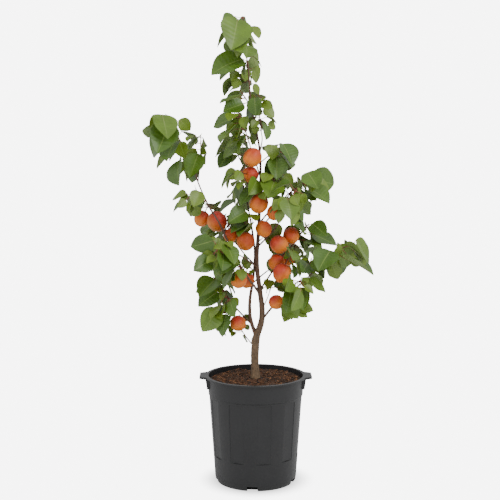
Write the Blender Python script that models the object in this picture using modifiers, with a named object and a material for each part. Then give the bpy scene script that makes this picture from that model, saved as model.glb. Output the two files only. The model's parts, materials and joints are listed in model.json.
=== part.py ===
"""A young red-cheeked apricot tree in its nursery pot, in leaf and in ripe fruit.

The origin is the centre of the pot's underside and +Z is up. Lengths are metres once they leave
the tables below, which are in centimetres (routes, spaces, leaves, fruit) and millimetres (radii).
"""

import math

import bmesh
import bpy
import numpy as np
from mathutils import Vector

CM = 0.01
MM = 0.001
GAP = 0.3 * MM
UP = np.array([0.0, 0.0, 1.0])

# The pot: a thin-walled nursery pot with a deep collar, a rim, fluted sides and two lugs.
POT_HEIGHT = 0.2568
RIM_RADIUS = 0.1225
RIM_THICKNESS = 3.3 * MM
MOUTH_RADIUS = 0.1135
COLLAR_TOP_RADIUS = 0.1150
COLLAR_FOOT_RADIUS = 0.1135
COLLAR_FOOT_HEIGHT = 0.2120
BODY_TOP_RADIUS = 0.1120
BODY_FOOT_RADIUS = 0.0985
BODY_FOOT_HEIGHT = 0.0140
FOOT_RADIUS = 0.0935
WALL = 2.5 * MM
FLOOR = 3.0 * MM
POT_STEPS = 48
FLUTES = 10
FLUTE_TURN = math.radians(1.3)
FLUTE_BOTTOM = 0.0650
FLUTE_TOP = 0.2060
FLUTE_DEPTH = 0.5 * MM
SLOTS = 5
SLOT_TURN = math.radians(-5)
SLOT_WIDTH = 25 * MM
SLOT_HEIGHT = 11 * MM
SLOT_REACH = 12 * MM
LUG_REACH = 0.1345
LUG_THICKNESS = 5 * MM
LUG_BASE_HALF = 35 * MM
LUG_END_HALF = 22 * MM
WEB_SPREAD = 25 * MM
WEB_THICKNESS = 4 * MM
WEB_HEIGHT = 26 * MM
WEB_TOP_DEPTH = 8 * MM
WEB_FOOT_DEPTH = 4 * MM

# The potting mix: flat under the trunk, then falling a little towards the wall.
MIX_CROWN = 0.2486
MIX_EDGE = 0.2460
MIX_FLAT_RADIUS = 0.020

# Trunk: its flare at the soil and the swollen fork, in millimetres added to the radius.
TRUNK_FOOT = 24.93
FLARE = 3.0
FLARE_FADE = 1.6
FORK_SWELL = 1.7
FORK_HEIGHT = 33.0
FORK_SPREAD = 4.5

# Each limb: the limb that carries it, its route in cm, its radii in mm at foot and tip, its sides.
LIMBS = {
    "trunk": (
        None,
        [(-0.1, 0, 24.93), (-0.2, 0, 30), (0.1, 0, 34.6), (1.3, 0, 38.3), (1.5, 0, 41.5),
         (1.0, 0, 46), (0.4, 0, 50.5), (0.3, 0.2, 55), (0.7, 0.3, 61), (0.9, 0, 67), (1.1, 0, 74),
         (0.9, 0, 79.5), (0, 0, 84.5), (-1.2, 0, 91), (-1.6, 0, 96.5)],
        (10.5, 1.8), 3,
    ),
    "stem_left": (
        "trunk",
        [(0.0, 0.1, 35.2), (-1.3, 0.5, 39.4), (-1.4, 1.0, 43.8), (-0.6, 2.3, 48.8), (-0.2, 3.0, 55),
         (-1.0, 5.0, 61), (-2.0, 7.5, 66.5)],
        (4.9, 1.7), 2,
    ),
    "bough_left": (
        "trunk",
        [(0.9, -0.2, 45.4), (-0.5, -1.7, 47.6), (-1.9, -2.5, 49.5), (-4.6, -2.9, 54.1),
         (-6.8, -2.9, 58.7), (-8.8, -3.0, 62.9), (-11.3, -3.2, 67.0), (-13.4, -3.6, 71.9),
         (-13.9, -3.7, 73.8)],
        (2.9, 1.7), 1,
    ),
    "bough_right": (
        "trunk",
        [(1.0, 0.0, 46.2), (3.9, 1.8, 50.3), (6.0, 3.0, 53.4), (8.1, 3.7, 55.8)],
        (2.4, 1.6), 1,
    ),
    "bough_right_low": (
        "trunk",
        [(1.45, -0.1, 39.0), (3.8, -1.0, 42.1), (6.5, -1.8, 44.8), (9.4, -2.6, 47.0),
         (11.7, -3.2, 49.2), (14.6, -3.8, 52.0)],
        (2.8, 1.5), 1,
    ),
    "bough_left_low": (
        "stem_left",
        [(-1.3, 0.5, 38.2), (-3.6, 0.9, 40.5), (-5.3, 1.3, 42.4), (-7.0, 1.7, 44.8)],
        (2.3, 1.5), 1,
    ),
    "bough_right_high": (
        "trunk",
        [(0.75, 0.1, 62.0), (2.9, 0.4, 64.6), (5.3, 0.6, 66.5), (7.2, 0.4, 68.6)],
        (2.2, 1.5), 1,
    ),
    "shoot_high_left": (
        "trunk", [(1.08, 0, 73.0), (-0.2, -0.6, 77.1), (-1.3, -1.1, 80.3)], (1.8, 1.3), 1,
    ),
    "shoot_high_right": (
        "trunk", [(0.95, 0.05, 78.8), (1.5, 0.6, 81.8), (1.3, 0.8, 83.5)], (1.6, 1.2), 1,
    ),
    "bough_front": (
        "trunk", [(0.4, 0.2, 56.5), (4.4, -2.6, 61.0), (6.4, -6.4, 65.4)], (2.2, 1.5), 1,
    ),
    "bough_front_left": (
        "trunk", [(0.35, 0.05, 51.6), (-2.6, -5.2, 54.4), (-5.4, -8.2, 56.4)], (2.0, 1.4), 1,
    ),
    "bough_back_left": (
        "trunk", [(0.92, 0.05, 68.2), (-1.5, 3.5, 72.6), (-4, 7, 77.5)], (2.0, 1.4), 1,
    ),
    "bough_back_right": (
        "trunk", [(0.7, 0.3, 60.4), (4, 4.2, 64), (7, 7.5, 67)], (2.1, 1.5), 1,
    ),
    "bough_back_low": (
        "stem_left", [(-0.75, 1.9, 47.6), (2.4, 5.2, 49.8), (5.5, 8.5, 51.5)], (2.0, 1.4), 1,
    ),
    "bough_back": (
        "stem_left", [(-0.3, 2.7, 52), (-3.0, 5.4, 54.6), (-5.5, 8.5, 57.5)], (2.0, 1.4), 1,
    ),
}

# Each mass of foliage: the limb it grows from, the height in cm where its stem leaves that limb (None for
# the limb's tip), the stem's further points, leaves, longest leaf in cm, leaves at a node, the space that
# its leaves keep to as (x, y, z) ranges in cm, and the seed of its growth.
MASSES = {
    "mass_top": (
        "trunk", None, [(-2.4, 0.2, 102.5), (-3, 0, 110)],
        12, 9.0, 1, ((-12, 1.5), (-8, 8), (95, 112.5)), 1048,
    ),
    "mass_upper_left": (
        "trunk", 89, [(-2, -0.6, 90.8), (-3.2, -1, 92.6)],
        5, 6.6, 1, ((-9.5, -2.5), (-8, 6), (88, 97)), 727,
    ),
    "mass_upper_right": (
        "trunk", 88, [(0.2, 0.4, 89.8), (1.3, 0.5, 91.5)],
        4, 6.2, 1, ((-2.5, 4.5), (-7, 7), (86.5, 94.5)), 1468,
    ),
    "mass_high_left": (
        "shoot_high_left", None, [(-2.6, -1.4, 84.5), (-4, -1.7, 88)],
        9, 7.0, 1, ((-10, -1.5), (-9, 6), (77, 93.5)), 1273,
    ),
    "mass_high_right": (
        "shoot_high_right", None, [(1.2, 0.9, 85.5), (0.6, 1, 88.5)],
        5, 5.6, 1, ((-2, 6), (-6, 8), (79.5, 89)), 1733,
    ),
    "mass_leader_right": (
        "trunk", 76.5, [(3.2, 0.2, 78.2), (5.6, 0.4, 79.8)],
        7, 7.8, 1, ((0, 12), (-7, 8), (70.5, 82.5)), 1961,
    ),
    "mass_leader_side": (
        "trunk", 71, [(3, -1, 73), (5.2, -1.8, 74.2)],
        7, 7.6, 2, ((0.5, 10.5), (-10, 5), (68, 79.5)), 650,
    ),
    "mass_leader_front": (
        "trunk", 69, [(1.6, -1.8, 70.6), (2.2, -3.6, 71.2)],
        5, 5.6, 2, ((-4.5, 3.5), (-9, 3), (65, 73.5)), 1530,
    ),
    "mass_leader_left": (
        "trunk", 70, [(-0.6, -1.6, 70.8), (-2.2, -3.6, 72), (-3.2, -4.4, 74.6)],
        7, 6.6, 1, ((-10.5, -1.5), (-10, 4), (70, 81)), 706,
    ),
    "mass_right_high_tip": (
        "bough_right_high", None, [(10, -0.2, 70.8), (12.6, -0.6, 73)],
        7, 9.2, 1, ((9.5, 19.5), (-8, 8), (66.5, 75.5)), 1481,
    ),
    "mass_right_high_side": (
        "bough_right_high", 65.5, [(5.6, -0.9, 66.6), (7.6, -2.4, 66.8)],
        7, 7.6, 2, ((3, 13.5), (-10, 4), (60, 70.5)), 881,
    ),
    "mass_right_tip": (
        "bough_right", None, [(10.5, 4.4, 58.7), (12.6, 4.8, 61.4)],
        9, 7.2, 1, ((6.5, 20.5), (-4, 12), (52, 64.5)), 1957,
    ),
    "mass_right_side": (
        "bough_right", 53.4, [(6.6, 1.6, 55.3), (7.4, -1.4, 55.2), (7.6, -3.6, 54.4)],
        6, 6.0, 1, ((0, 11), (-10, 6), (48.5, 64.5)), 644,
    ),
    "mass_right_low_tip": (
        "bough_right_low", None, [(18.6, -4.4, 56), (22.6, -4.8, 57.6)],
        9, 9.2, 1, ((13, 27.5), (-12, 4), (49, 59)), 240,
    ),
    "mass_right_low_side": (
        "bough_right_low", 50.6, [(12.6, -2.4, 52), (13.4, -2, 53.6)],
        6, 6.8, 2, ((8.5, 18), (-8, 6), (44, 55)), 603,
    ),
    "mass_right_low_under": (
        "bough_right_low", 43.9, [(7.2, -2.6, 43.9), (9.2, -3.6, 44.4)],
        6, 8.0, 2, ((1.5, 13.5), (-10, 4), (38.5, 49)), 422,
    ),
    "mass_right_inner": (
        "trunk", 41.5, [(2.9, 0.8, 44.4), (4, 1.4, 48)],
        6, 7.6, 1, ((0, 10), (-4, 8), (44.5, 56.5)), 611,
    ),
    "mass_left_low_tip": (
        "bough_left_low", None, [(-8.4, 2, 46.8), (-10, 2.2, 48.8)],
        6, 7.6, 1, ((-15, -4.5), (-5, 9), (40.5, 52)), 391,
    ),
    "mass_left_low_side": (
        "bough_left_low", 43.2, [(-6.4, 0.2, 44.2), (-7.6, -0.8, 44.6)],
        5, 6.2, 2, ((-13, -1), (-8, 5), (39.5, 48)), 691,
    ),
    "mass_left_low_under": (
        "bough_left_low", 41.2, [(-6.2, 0.9, 40.8), (-8.2, 0.8, 40.4)],
        6, 7.4, 2, ((-14, -5.5), (-6, 8), (33.5, 44)), 384,
    ),
    "mass_foot_twig": (
        "trunk", 32.2, [(-2.3, 0.3, 34.8), (-3.9, 1.9, 37), (-5.2, 2.6, 39.8)],
        3, 4.4, 1, ((-8.5, -1), (-6, 8), (32, 47)), 508,
    ),
    "mass_left_inner": (
        "bough_left", 65.3, [(-10.8, -1.6, 66), (-11.4, 0.6, 66.1), (-11.6, 2, 65.7)],
        5, 6.4, 1, ((-19, -6), (-6, 9), (57, 69)), 604,
    ),
    "mass_left_back": (
        "bough_left", 60, [(-6.9, -1.4, 61.3), (-6.4, 1.4, 62.3), (-6.6, 3.4, 63)],
        4, 6.0, 1, ((-16, -2.5), (-3, 10), (52.5, 67.5)), 1323,
    ),
    "mass_left_under": (
        "bough_left", 50.8, [(-3.9, -3.9, 52.3), (-5.6, -4.6, 52.8)],
        7, 8.0, 2, ((-13.5, -2), (-12, 2), (47.5, 59.5)), 1551,
    ),
    "mass_left_spur": (
        "stem_left", 50.4, [(-1.5, 1.2, 51.6), (-2.6, 0.5, 52)],
        3, 4.4, 1, ((-4, 1.5), (-3, 6), (49, 57)), 923,
    ),
    "mass_left_hang": (
        "bough_left", 57.5, [(-7.6, -4, 57.6), (-9.4, -4.8, 57.6)],
        7, 6.6, 2, ((-17.5, -7.5), (-12, 3), (51, 62)), 109,
    ),
    "mass_left_side": (
        "bough_left", 67.5, [(-13, -4.6, 68.2), (-14.8, -5.2, 69.4)],
        7, 6.2, 2, ((-20, -10), (-12, 3), (61, 71.5)), 1719,
    ),
    "mass_left_mid": (
        "bough_left", 72, [(-13, -2.6, 76.6), (-12.8, -2.2, 82.4)],
        5, 8.0, 1, ((-18.5, -11), (-8, 8), (72, 84.5)), 306,
    ),
    "mass_left_tip": (
        "bough_left", None, [(-16.6, -4, 80), (-20.6, -4.4, 87.4)],
        11, 8.8, 1, ((-28.5, -13), (-12, 5), (68, 88)), 1476,
    ),
    "mass_centre_left": (
        "trunk", 63, [(-0.6, -1.5, 63.9), (-2.6, -2.6, 63.6)],
        6, 7.0, 1, ((-7, 1.5), (-10, 4), (57, 70)), 1009,
    ),
    "mass_centre_right": (
        "trunk", 57.6, [(2.6, 0.6, 59.4), (4.4, 1.2, 60.4)],
        5, 6.4, 1, ((0.5, 10.5), (-6, 8), (53, 66.5)), 1829,
    ),
    "mass_front": (
        "bough_front", None, [(8, -8.6, 68.2), (8.8, -10.2, 70.4)],
        7, 6.4, 1, ((1.5, 11.5), (-18, -2), (62, 79.5)), 1650,
    ),
    "mass_front_left": (
        "bough_front_left", None, [(-7.2, -10, 57), (-8.8, -11.4, 57.2)],
        7, 6.4, 1, ((-17, -3.5), (-18, -4), (48.5, 62)), 481,
    ),
    "mass_front_low": (
        "bough_right_low", 46.6, [(9.2, -6, 48.6), (10.2, -9, 49.6)],
        6, 6.2, 1, ((1.5, 17), (-17, -3), (40.5, 56.5)), 928,
    ),
    "mass_back": (
        "stem_left", None, [(-3, 10.5, 70.5), (-3.6, 12.4, 73)],
        8, 7.0, 1, ((-11, 1.5), (3, 20), (63.5, 83)), 254,
    ),
    "mass_back_left": (
        "bough_back_left", None, [(-4.6, 9.4, 81), (-4.8, 10.8, 83.6)],
        7, 6.8, 1, ((-10.5, 1.5), (2, 18), (72, 94.5)), 1389,
    ),
    "mass_back_right": (
        "bough_back_right", None, [(9, 10, 69.6), (10.2, 12, 71.6)],
        8, 7.0, 1, ((1.5, 14), (3, 20), (63.5, 82.5)), 1004,
    ),
    "mass_back_low": (
        "bough_back_low", None, [(8.4, 11, 53), (10.6, 13, 54.6)],
        7, 7.0, 1, ((1.5, 20), (4, 20), (42, 60.5)), 992,
    ),
    "mass_back_mid": (
        "bough_back", None, [(-7.6, 11, 59.8), (-9, 13, 61.4)],
        8, 7.0, 1, ((-19.5, -1.5), (4, 20), (44.5, 69.5)), 506,
    ),
    "mass_back_high": (
        "trunk", 93.5, [(-1.8, 1.8, 96), (-3, 2.8, 98.4)],
        6, 7.6, 1, ((-11.5, 1.5), (0, 12), (91, 105)), 946,
    ),
}

# Each apricot: its centre and diameter in cm, and the mass whose twig bears it.
FRUITS = [
    ((-0.8, -3.4, 77.7), 4.6, "mass_leader_left"),
    ((-1.3, -1.5, 73.7), 4.0, "mass_leader_left"),
    ((0.7, -3.2, 67.1), 4.8, "mass_leader_front"),
    ((4.4, -2.3, 64.9), 3.9, "mass_right_high_side"),
    ((1.8, -3.3, 61.1), 4.0, "mass_centre_left"),
    ((-2.4, -2, 58.1), 4.5, "mass_centre_left"),
    ((8.4, 0.9, 59.1), 4.2, "mass_right_side"),
    ((5.5, -1.8, 57.3), 4.5, "mass_right_side"),
    ((6.1, -4.6, 50.9), 4.6, "mass_right_side"),
    ((4.9, -0.9, 53), 4.0, "mass_right_side"),
    ((7.8, 1.5, 53.6), 3.4, "mass_right_side"),
    ((4.8, -3.8, 43.9), 3.7, "mass_right_low_under"),
    ((-4, -4.7, 49.4), 4.2, "mass_left_under"),
    ((-2.2, 0.15, 48.6), 3.9, "mass_left_spur"),
    ((-4.2, -0.7, 38.3), 4.0, "mass_foot_twig"),
    ((-12.9, 2.6, 63.1), 4.0, "mass_left_inner"),
    ((-9.2, 0.1, 62.6), 5.0, "mass_left_inner"),
    ((-6, -0.3, 59.3), 3.5, "mass_left_back"),
]

# The growth rule. Leaves stand round a stem by the golden angle, and each tries again until it is free.
GOLDEN_TURN = math.radians(137.5)
TRIES = 30
TURN_SPREAD = 1.4
SWING_SPREAD = 1.6
SMALLEST_LEAF = 0.68
SHORT_STALK = 2.0 * CM
LONG_STALK = 3.6 * CM
STALK_RADIUS = 0.7 * MM
FOOT_WIDTH = 1.2 * MM
ROOT_SINK = 1.2 * MM
LEAST_DROOP = math.radians(12)
MOST_DROOP = math.radians(78)
TWIST = math.radians(50)
LIGHT = np.array([0.0, -0.7, 0.6])
OUTWARD_PULL = 0.5
STEM_TIP_RADIUS = 0.8 * MM
SIDE_STEM_RADIUS = 1.5 * MM
SPUR_RADIUS = 1.1 * MM
STRAIGHT_START = 6 * MM

# EXACT leaves a loose leaf root in this one.
MANIFOLD_MASSES = ("mass_centre_right",)

# A blade: widest at 0.38 of its length, with a drawn-out tip, folded up at its midrib and arched down.
WIDEST = 0.38
STATIONS = np.array([0.0, 0.17, 0.42, 0.72, 1.0])
BLADE_THICKNESS = 0.011
SOLID_STATIONS = (0.24, 0.62)
SOLID_WIDEN = 1.03

# Clearances that a new leaf keeps.
LEAF_CLEARANCE = 1.6 * MM
STALK_CLEARANCE = 2.0 * MM
STALK_SPACING = 4.0 * MM
LIMB_CLEARANCE = 1.5 * MM
FRUIT_CLEARANCE = 1.5 * MM
EDGE_CLEARANCE = 1.2 * MM
PIN_CLEARANCE = 1.6 * MM


def clear_scene():
    for item in list(bpy.data.objects):
        bpy.data.objects.remove(item, do_unlink=True)


def new_collection(name):
    made = bpy.data.collections.new(name)
    bpy.context.scene.collection.children.link(made)
    return made


def principled(name, colour, roughness, metallic=0.0):
    """A material of one base colour."""
    made = bpy.data.materials.new(name)
    made.use_nodes = True
    shader = made.node_tree.nodes["Principled BSDF"]
    shader.inputs["Base Color"].default_value = (*colour, 1.0)
    shader.inputs["Roughness"].default_value = roughness
    shader.inputs["Metallic"].default_value = metallic
    made.diffuse_color = (*colour, 1.0)
    return made


def unit(v):
    return v / max(1e-9, math.sqrt(float(v[0] * v[0] + v[1] * v[1] + v[2] * v[2])))


def cross(a, b):
    return np.array([a[1] * b[2] - a[2] * b[1], a[2] * b[0] - a[0] * b[2], a[0] * b[1] - a[1] * b[0]])


def smooth_route(points, per_span, before=None):
    """A Catmull-Rom curve through the points, with per_span steps from each to the next."""
    p = np.array(points, float)
    ends = np.vstack([2 * p[0] - p[1] if before is None else before, p, 2 * p[-1] - p[-2]])
    t = (np.arange(per_span) / per_span)[:, None]
    spans = []
    for i in range(len(p) - 1):
        a, b, c, d = ends[i:i + 4]
        spans.append(
            0.5 * (2 * b + (c - a) * t + (2 * a - 5 * b + 4 * c - d) * t**2 + (3 * b - a - 3 * c + d) * t**3)
        )
    return np.vstack(spans + [p[-1:]])


def lengths_along(route):
    return np.concatenate([[0], np.cumsum(np.linalg.norm(np.diff(route, axis=0), axis=1))])


def point_at(route, share):
    along = lengths_along(route)
    return np.array([np.interp(share * along[-1], along, route[:, k]) for k in range(3)])


def direction_at(route, share):
    return unit(point_at(route, min(1, share + 0.03)) - point_at(route, max(0, share - 0.03)))


def limb_shape(name):
    """The limb's route and its radius at each point of it, tapering from foot to tip."""
    _, points, (foot, tip), _ = LIMBS[name]
    route = smooth_route(np.array(points, float) * CM, 3)
    along = lengths_along(route)
    left = 1 - along / along[-1]
    if name != "trunk":
        return route, (tip + (foot - tip) * left**1.2) * MM
    height = route[:, 2] / CM
    flare = FLARE * np.exp(-(height - TRUNK_FOOT) / FLARE_FADE)
    swell = FORK_SWELL * np.exp(-(((height - FORK_HEIGHT) / FORK_SPREAD) ** 2))
    return route, (tip + (foot - 1.6 - tip) * left**1.7 + flare + swell) * MM


def stem_shape(name, limbs):
    """The mass's own stem: it starts on its limb's axis, or a gap beyond the limb's tip and in line with it."""
    carrier, height, points = MASSES[name][:3]
    route, radii = limbs[carrier]
    rest = np.array(points, float) * CM
    if height is None:
        onward = unit(route[-1] - route[-2])
        lead = route[-1] + STRAIGHT_START * onward
        before = rest[0] - 2 * onward * float(np.linalg.norm(rest[0] - lead))
        path = np.vstack([route[-1] + GAP * onward, smooth_route(np.vstack([lead, rest]), 2, before)])
        foot = radii[-1]
    else:
        start = np.array([np.interp(height * CM, route[:, 2], route[:, k]) for k in range(3)])
        path = smooth_route(np.vstack([start, rest]), 2)
        foot = min(SIDE_STEM_RADIUS, 0.75 * float(np.interp(height * CM, route[:, 2], radii)))
    return path, np.linspace(foot, STEM_TIP_RADIUS, len(path))


def fruit_spurs(stems):
    """The stalk of each fruit, from the best placed point of its mass's stem to the fruit's centre."""
    spurs = []
    for centre, _, owner in FRUITS:
        heart = np.array(centre) * CM
        path = stems[owner][0]
        points = np.array([point_at(path, share) for share in np.linspace(0.25, 1, 13)])
        cost = np.linalg.norm(points - heart, axis=1) - 0.5 * (points[:, 2] - heart[2])
        spurs.append((points[cost.argmin()], heart))
    return spurs


def leaf_width(u):
    """Half the blade's width at share u of its length, as a share of its widest half."""
    foot = (1 - (1 - np.clip(u / WIDEST, 0, 1)) ** 2) ** 0.55
    tip = np.clip(np.cos(np.pi / 2 * np.clip((u - WIDEST) / (1 - WIDEST), 0, 1)), 0, 1) ** 1.25
    return np.where(u < WIDEST, foot, tip)


def blade_points(leaf, u, v):
    """Points of the blade at shares u of its length and v of its half width, from -1 to 1."""
    u, v = np.broadcast_arrays(np.asarray(u, float), np.asarray(v, float))
    half = leaf["width"] / 2 * leaf_width(u)
    arch = leaf["arch"]
    along = leaf["length"] * (u - 0.10 * arch * u**3)
    lift = np.abs(v) * half * leaf["fold"] - arch * leaf["length"] * u**2 * 0.3
    return (
        leaf["base"]
        + along[..., None] * leaf["axis"]
        + (v * half)[..., None] * leaf["side"]
        + lift[..., None] * leaf["normal"]
    )


def shape_leaf(draw, turn, here, along, longest):
    """One leaf on the stem at the point here, from eight draws between 0 and 1."""
    first = unit(cross(along, UP if abs(along[2]) < 0.9 else np.array([1.0, 0, 0])))
    second = cross(along, first)
    angle = turn + (draw[0] - 0.5) * TURN_SPREAD
    away = unit(0.5 * along + math.cos(angle) * first + math.sin(angle) * second)
    size = longest * (SMALLEST_LEAF + (1 - SMALLEST_LEAF) * draw[4])
    stalk = (SHORT_STALK + (LONG_STALK - SHORT_STALK) * draw[1]) * (0.5 + 0.5 * size / (8 * CM))
    knee = here + away * stalk * 0.55
    ending = unit(away - 0.6 * UP)
    base = knee + ending * stalk * 0.45
    droop = LEAST_DROOP + (MOST_DROOP - LEAST_DROOP) * draw[2]
    swing = (draw[6] - 0.5) * SWING_SPREAD
    level = np.array([
        ending[0] * math.cos(swing) - ending[1] * math.sin(swing),
        ending[0] * math.sin(swing) + ending[1] * math.cos(swing),
        0.0,
    ])
    axis = math.cos(droop) * unit(level + 1e-9) - math.sin(droop) * UP
    facing = LIGHT + OUTWARD_PULL * unit(np.array([here[0], here[1], 0.02]))
    top = unit(facing - axis * float(facing @ axis))
    side = cross(axis, top)
    twist = (draw[3] * 2 - 1) * TWIST
    normal = math.cos(twist) * top + math.sin(twist) * side
    return dict(
        stalk=np.array([here, (here + base) / 2, base]), along=along, sink=ROOT_SINK * (1 + 0.5 * draw[0]), base=base, axis=axis, normal=normal,
        side=cross(axis, normal), length=size, width=size * (0.76 + 0.12 * draw[5]),
        fold=0.10 + 0.3 * draw[7], arch=0.2 + 0.6 * draw[5],
    )


RING_U = np.array([0, .1, .25, .42, .6, .8, 1, .8, .6, .42, .25, .1])
RING_V = np.array([0, -1, -1, -1, -1, -1, 0, 1, 1, 1, 1, 1])
BOX_U = np.array([0, .2, .42, .68, 1, .68, .42, .2])
BOX_V = np.array([0, -1, -1, -1, 0, 1, 1, 1])
GRID_U, GRID_V = (g.ravel() for g in np.meshgrid(np.linspace(0.03, 0.97, 9), np.linspace(-1, 1, 7), indexing="ij"))


def blade_triangles(leaf):
    """The blade's middle surface as triangles, for the clearance tests."""
    middle = blade_points(leaf, STATIONS, 0.0)
    found = []
    for side in (-1.0, 1.0):
        edge = np.vstack([middle[:1], blade_points(leaf, STATIONS[1:-1], side), middle[-1:]])
        for i in range(4):
            if i > 0:
                found.append((middle[i], edge[i], edge[i + 1]))
            if i < 3:
                found.append((middle[i], edge[i + 1], middle[i + 1]))
    return np.array(found)


def segment_distance(p, a, b):
    d = b - a
    t = ((p - a) * d).sum(-1) / np.maximum((d * d).sum(-1), 1e-16)
    return np.linalg.norm(p - a - np.clip(t, 0, 1)[..., None] * d, axis=-1)


def triangle_distance(points, triangles):
    """The distance of each point to each triangle."""
    p = points[:, None]
    a, b, c = triangles[None, :, 0], triangles[None, :, 1], triangles[None, :, 2]
    n = np.cross(b - a, c - a)
    n = n / np.maximum(np.linalg.norm(n, axis=-1, keepdims=True), 1e-12)
    height = ((p - a) * n).sum(-1)
    foot = p - height[..., None] * n
    inside = (
        ((np.cross(b - a, foot - a) * n).sum(-1) >= 0)
        & ((np.cross(c - b, foot - b) * n).sum(-1) >= 0)
        & ((np.cross(a - c, foot - c) * n).sum(-1) >= 0)
    )
    edge = np.minimum(np.minimum(segment_distance(p, a, b), segment_distance(p, b, c)), segment_distance(p, c, a))
    return np.where(inside, np.abs(height), edge)


def pierces(a, b, triangles):
    """True if one of the segments a-b goes through one of the triangles."""
    d = (b - a)[:, None]
    e1 = (triangles[:, 1] - triangles[:, 0])[None]
    e2 = (triangles[:, 2] - triangles[:, 0])[None]
    h = np.cross(d, e2)
    det = (h * e1).sum(-1)
    ok = np.abs(det) > 1e-16
    inv = 1 / np.where(ok, det, 1)
    s = a[:, None] - triangles[None, :, 0]
    u = (s * h).sum(-1) * inv
    q = np.cross(s, e1)
    v = (d * q).sum(-1) * inv
    t = (e2 * q).sum(-1) * inv
    return bool((ok & (u >= 0) & (v >= 0) & (u + v <= 1) & (t >= 0) & (t <= 1)).any())


def measure_leaf(leaf):
    """Adds what the clearance tests read: triangles, a grid of points, edges and points along the stalk."""
    root, knee, base = leaf["stalk"]
    leaf["triangles"] = blade_triangles(leaf)
    leaf["grid"] = blade_points(leaf, GRID_U, GRID_V)
    leaf["middle"] = blade_points(leaf, [0.5], [0.0])[0]
    leaf["reach"] = leaf["length"] * 0.62
    leaf["pins"] = np.vstack(
        [root + (knee - root) * t for t in (0.25, 0.5, 0.75, 1.0)] + [knee + (base - knee) * t for t in (0.5, 1.0)]
    )
    ring = blade_points(leaf, RING_U, RING_V)
    midrib = blade_points(leaf, STATIONS, 0.0)
    leaf["edge_from"] = np.vstack([ring, midrib[:-1], root + 0.15 * (knee - root), knee])
    leaf["edge_to"] = np.vstack([np.roll(ring, -1, 0), midrib[1:], knee, base])


class Clearance:
    """What stands already: limbs and stems as round segments, fruit as balls, and the leaves placed so far."""

    def __init__(self, limbs, stems):
        rows = [
            (route[i], route[i + 1], max(radii[i], radii[i + 1]), name)
            for group in (limbs, stems)
            for name, (route, radii) in group.items()
            for i in range(len(route) - 1)
        ]
        self.start = np.array([row[0] for row in rows])
        self.end = np.array([row[1] for row in rows])
        self.radius = np.array([row[2] for row in rows])
        self.owner = np.array([row[3] for row in rows])
        self.fruit = np.array([centre for centre, _, _ in FRUITS]) * CM
        self.fruit_radius = np.array([diameter / 2 for _, diameter, _ in FRUITS]) * CM
        self.spurs = fruit_spurs(stems)
        self.leaves = []

    def clear_of_limbs(self, leaf):
        middle, reach = leaf["middle"], leaf["reach"] + 0.004
        near = segment_distance(middle[None, None], self.start[None], self.end[None])[0] < reach + self.radius + 0.01
        if near.any():
            a, b, r = self.start[near], self.end[near], self.radius[near]
            if pierces(a, b, leaf["triangles"]):
                return False
            if (segment_distance(leaf["grid"][:, None], a[None], b[None]) < r + LIMB_CLEARANCE).any():
                return False
            points = np.vstack([a + (b - a) * t for t in (0.0, 0.33, 0.67)])
            thick = np.concatenate([r, r, r])
            close = np.linalg.norm(points - middle, axis=1) < reach + 0.004
            if close.any():
                away = triangle_distance(points[close], leaf["triangles"]).min(1)
                if (away < thick[close] + EDGE_CLEARANCE).any():
                    return False
        pins = leaf["pins"]
        low, high = pins.min(0) - 0.012, pins.max(0) + 0.012
        near = (np.minimum(self.start, self.end) < high).all(1) & (np.maximum(self.start, self.end) > low).all(1)
        near &= self.owner != leaf["owner"]
        if near.any():
            away = segment_distance(pins[:, None], self.start[near][None], self.end[near][None])
            if (away < self.radius[near] + PIN_CLEARANCE).any():
                return False
        return True

    def clear_of_fruit(self, leaf):
        points = np.vstack([leaf["grid"], leaf["pins"]])
        away = np.linalg.norm(points[:, None] - self.fruit[None], axis=-1)
        if (away < self.fruit_radius + FRUIT_CLEARANCE).any():
            return False
        near = np.linalg.norm(self.fruit - leaf["middle"], axis=1) < leaf["reach"] + self.fruit_radius
        if near.any():
            away = triangle_distance(self.fruit[near], leaf["triangles"]).min(1)
            if (away < self.fruit_radius[near] + EDGE_CLEARANCE).any():
                return False
        for start, heart in self.spurs:
            if np.linalg.norm((start + heart) / 2 - leaf["middle"]) < 0.12:
                points = start + (heart - start) * np.linspace(0, 1, 14)[:, None]
                if triangle_distance(points, leaf["triangles"]).min() < STALK_CLEARANCE:
                    return False
        return True

    def clear_of_leaves(self, leaf):
        for other in self.leaves:
            apart = np.linalg.norm(other["middle"] - leaf["middle"])
            if apart > other["reach"] + leaf["reach"] + 0.01:
                far = (np.linalg.norm(other["pins"] - leaf["middle"], axis=1) > leaf["reach"] + 0.004).all()
                if far and (np.linalg.norm(leaf["pins"] - other["middle"], axis=1) > other["reach"] + 0.004).all():
                    continue
            if pierces(leaf["edge_from"], leaf["edge_to"], other["triangles"]):
                return False
            if pierces(other["edge_from"], other["edge_to"], leaf["triangles"]):
                return False
            if triangle_distance(leaf["grid"], other["triangles"]).min() < LEAF_CLEARANCE:
                return False
            if triangle_distance(other["grid"], leaf["triangles"]).min() < LEAF_CLEARANCE:
                return False
            if other["owner"] != leaf["owner"]:
                if np.linalg.norm(leaf["pins"][:, None] - other["pins"][None], axis=-1).min() < STALK_SPACING:
                    return False
            if triangle_distance(leaf["pins"], other["triangles"]).min() < STALK_CLEARANCE:
                return False
            if triangle_distance(other["pins"], leaf["triangles"]).min() < STALK_CLEARANCE:
                return False
        return True

    def place(self, leaf):
        """Keeps the leaf if it touches nothing."""
        measure_leaf(leaf)
        free = self.clear_of_fruit(leaf) and self.clear_of_limbs(leaf) and self.clear_of_leaves(leaf)
        if free:
            self.leaves.append(leaf)
        return free


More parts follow.
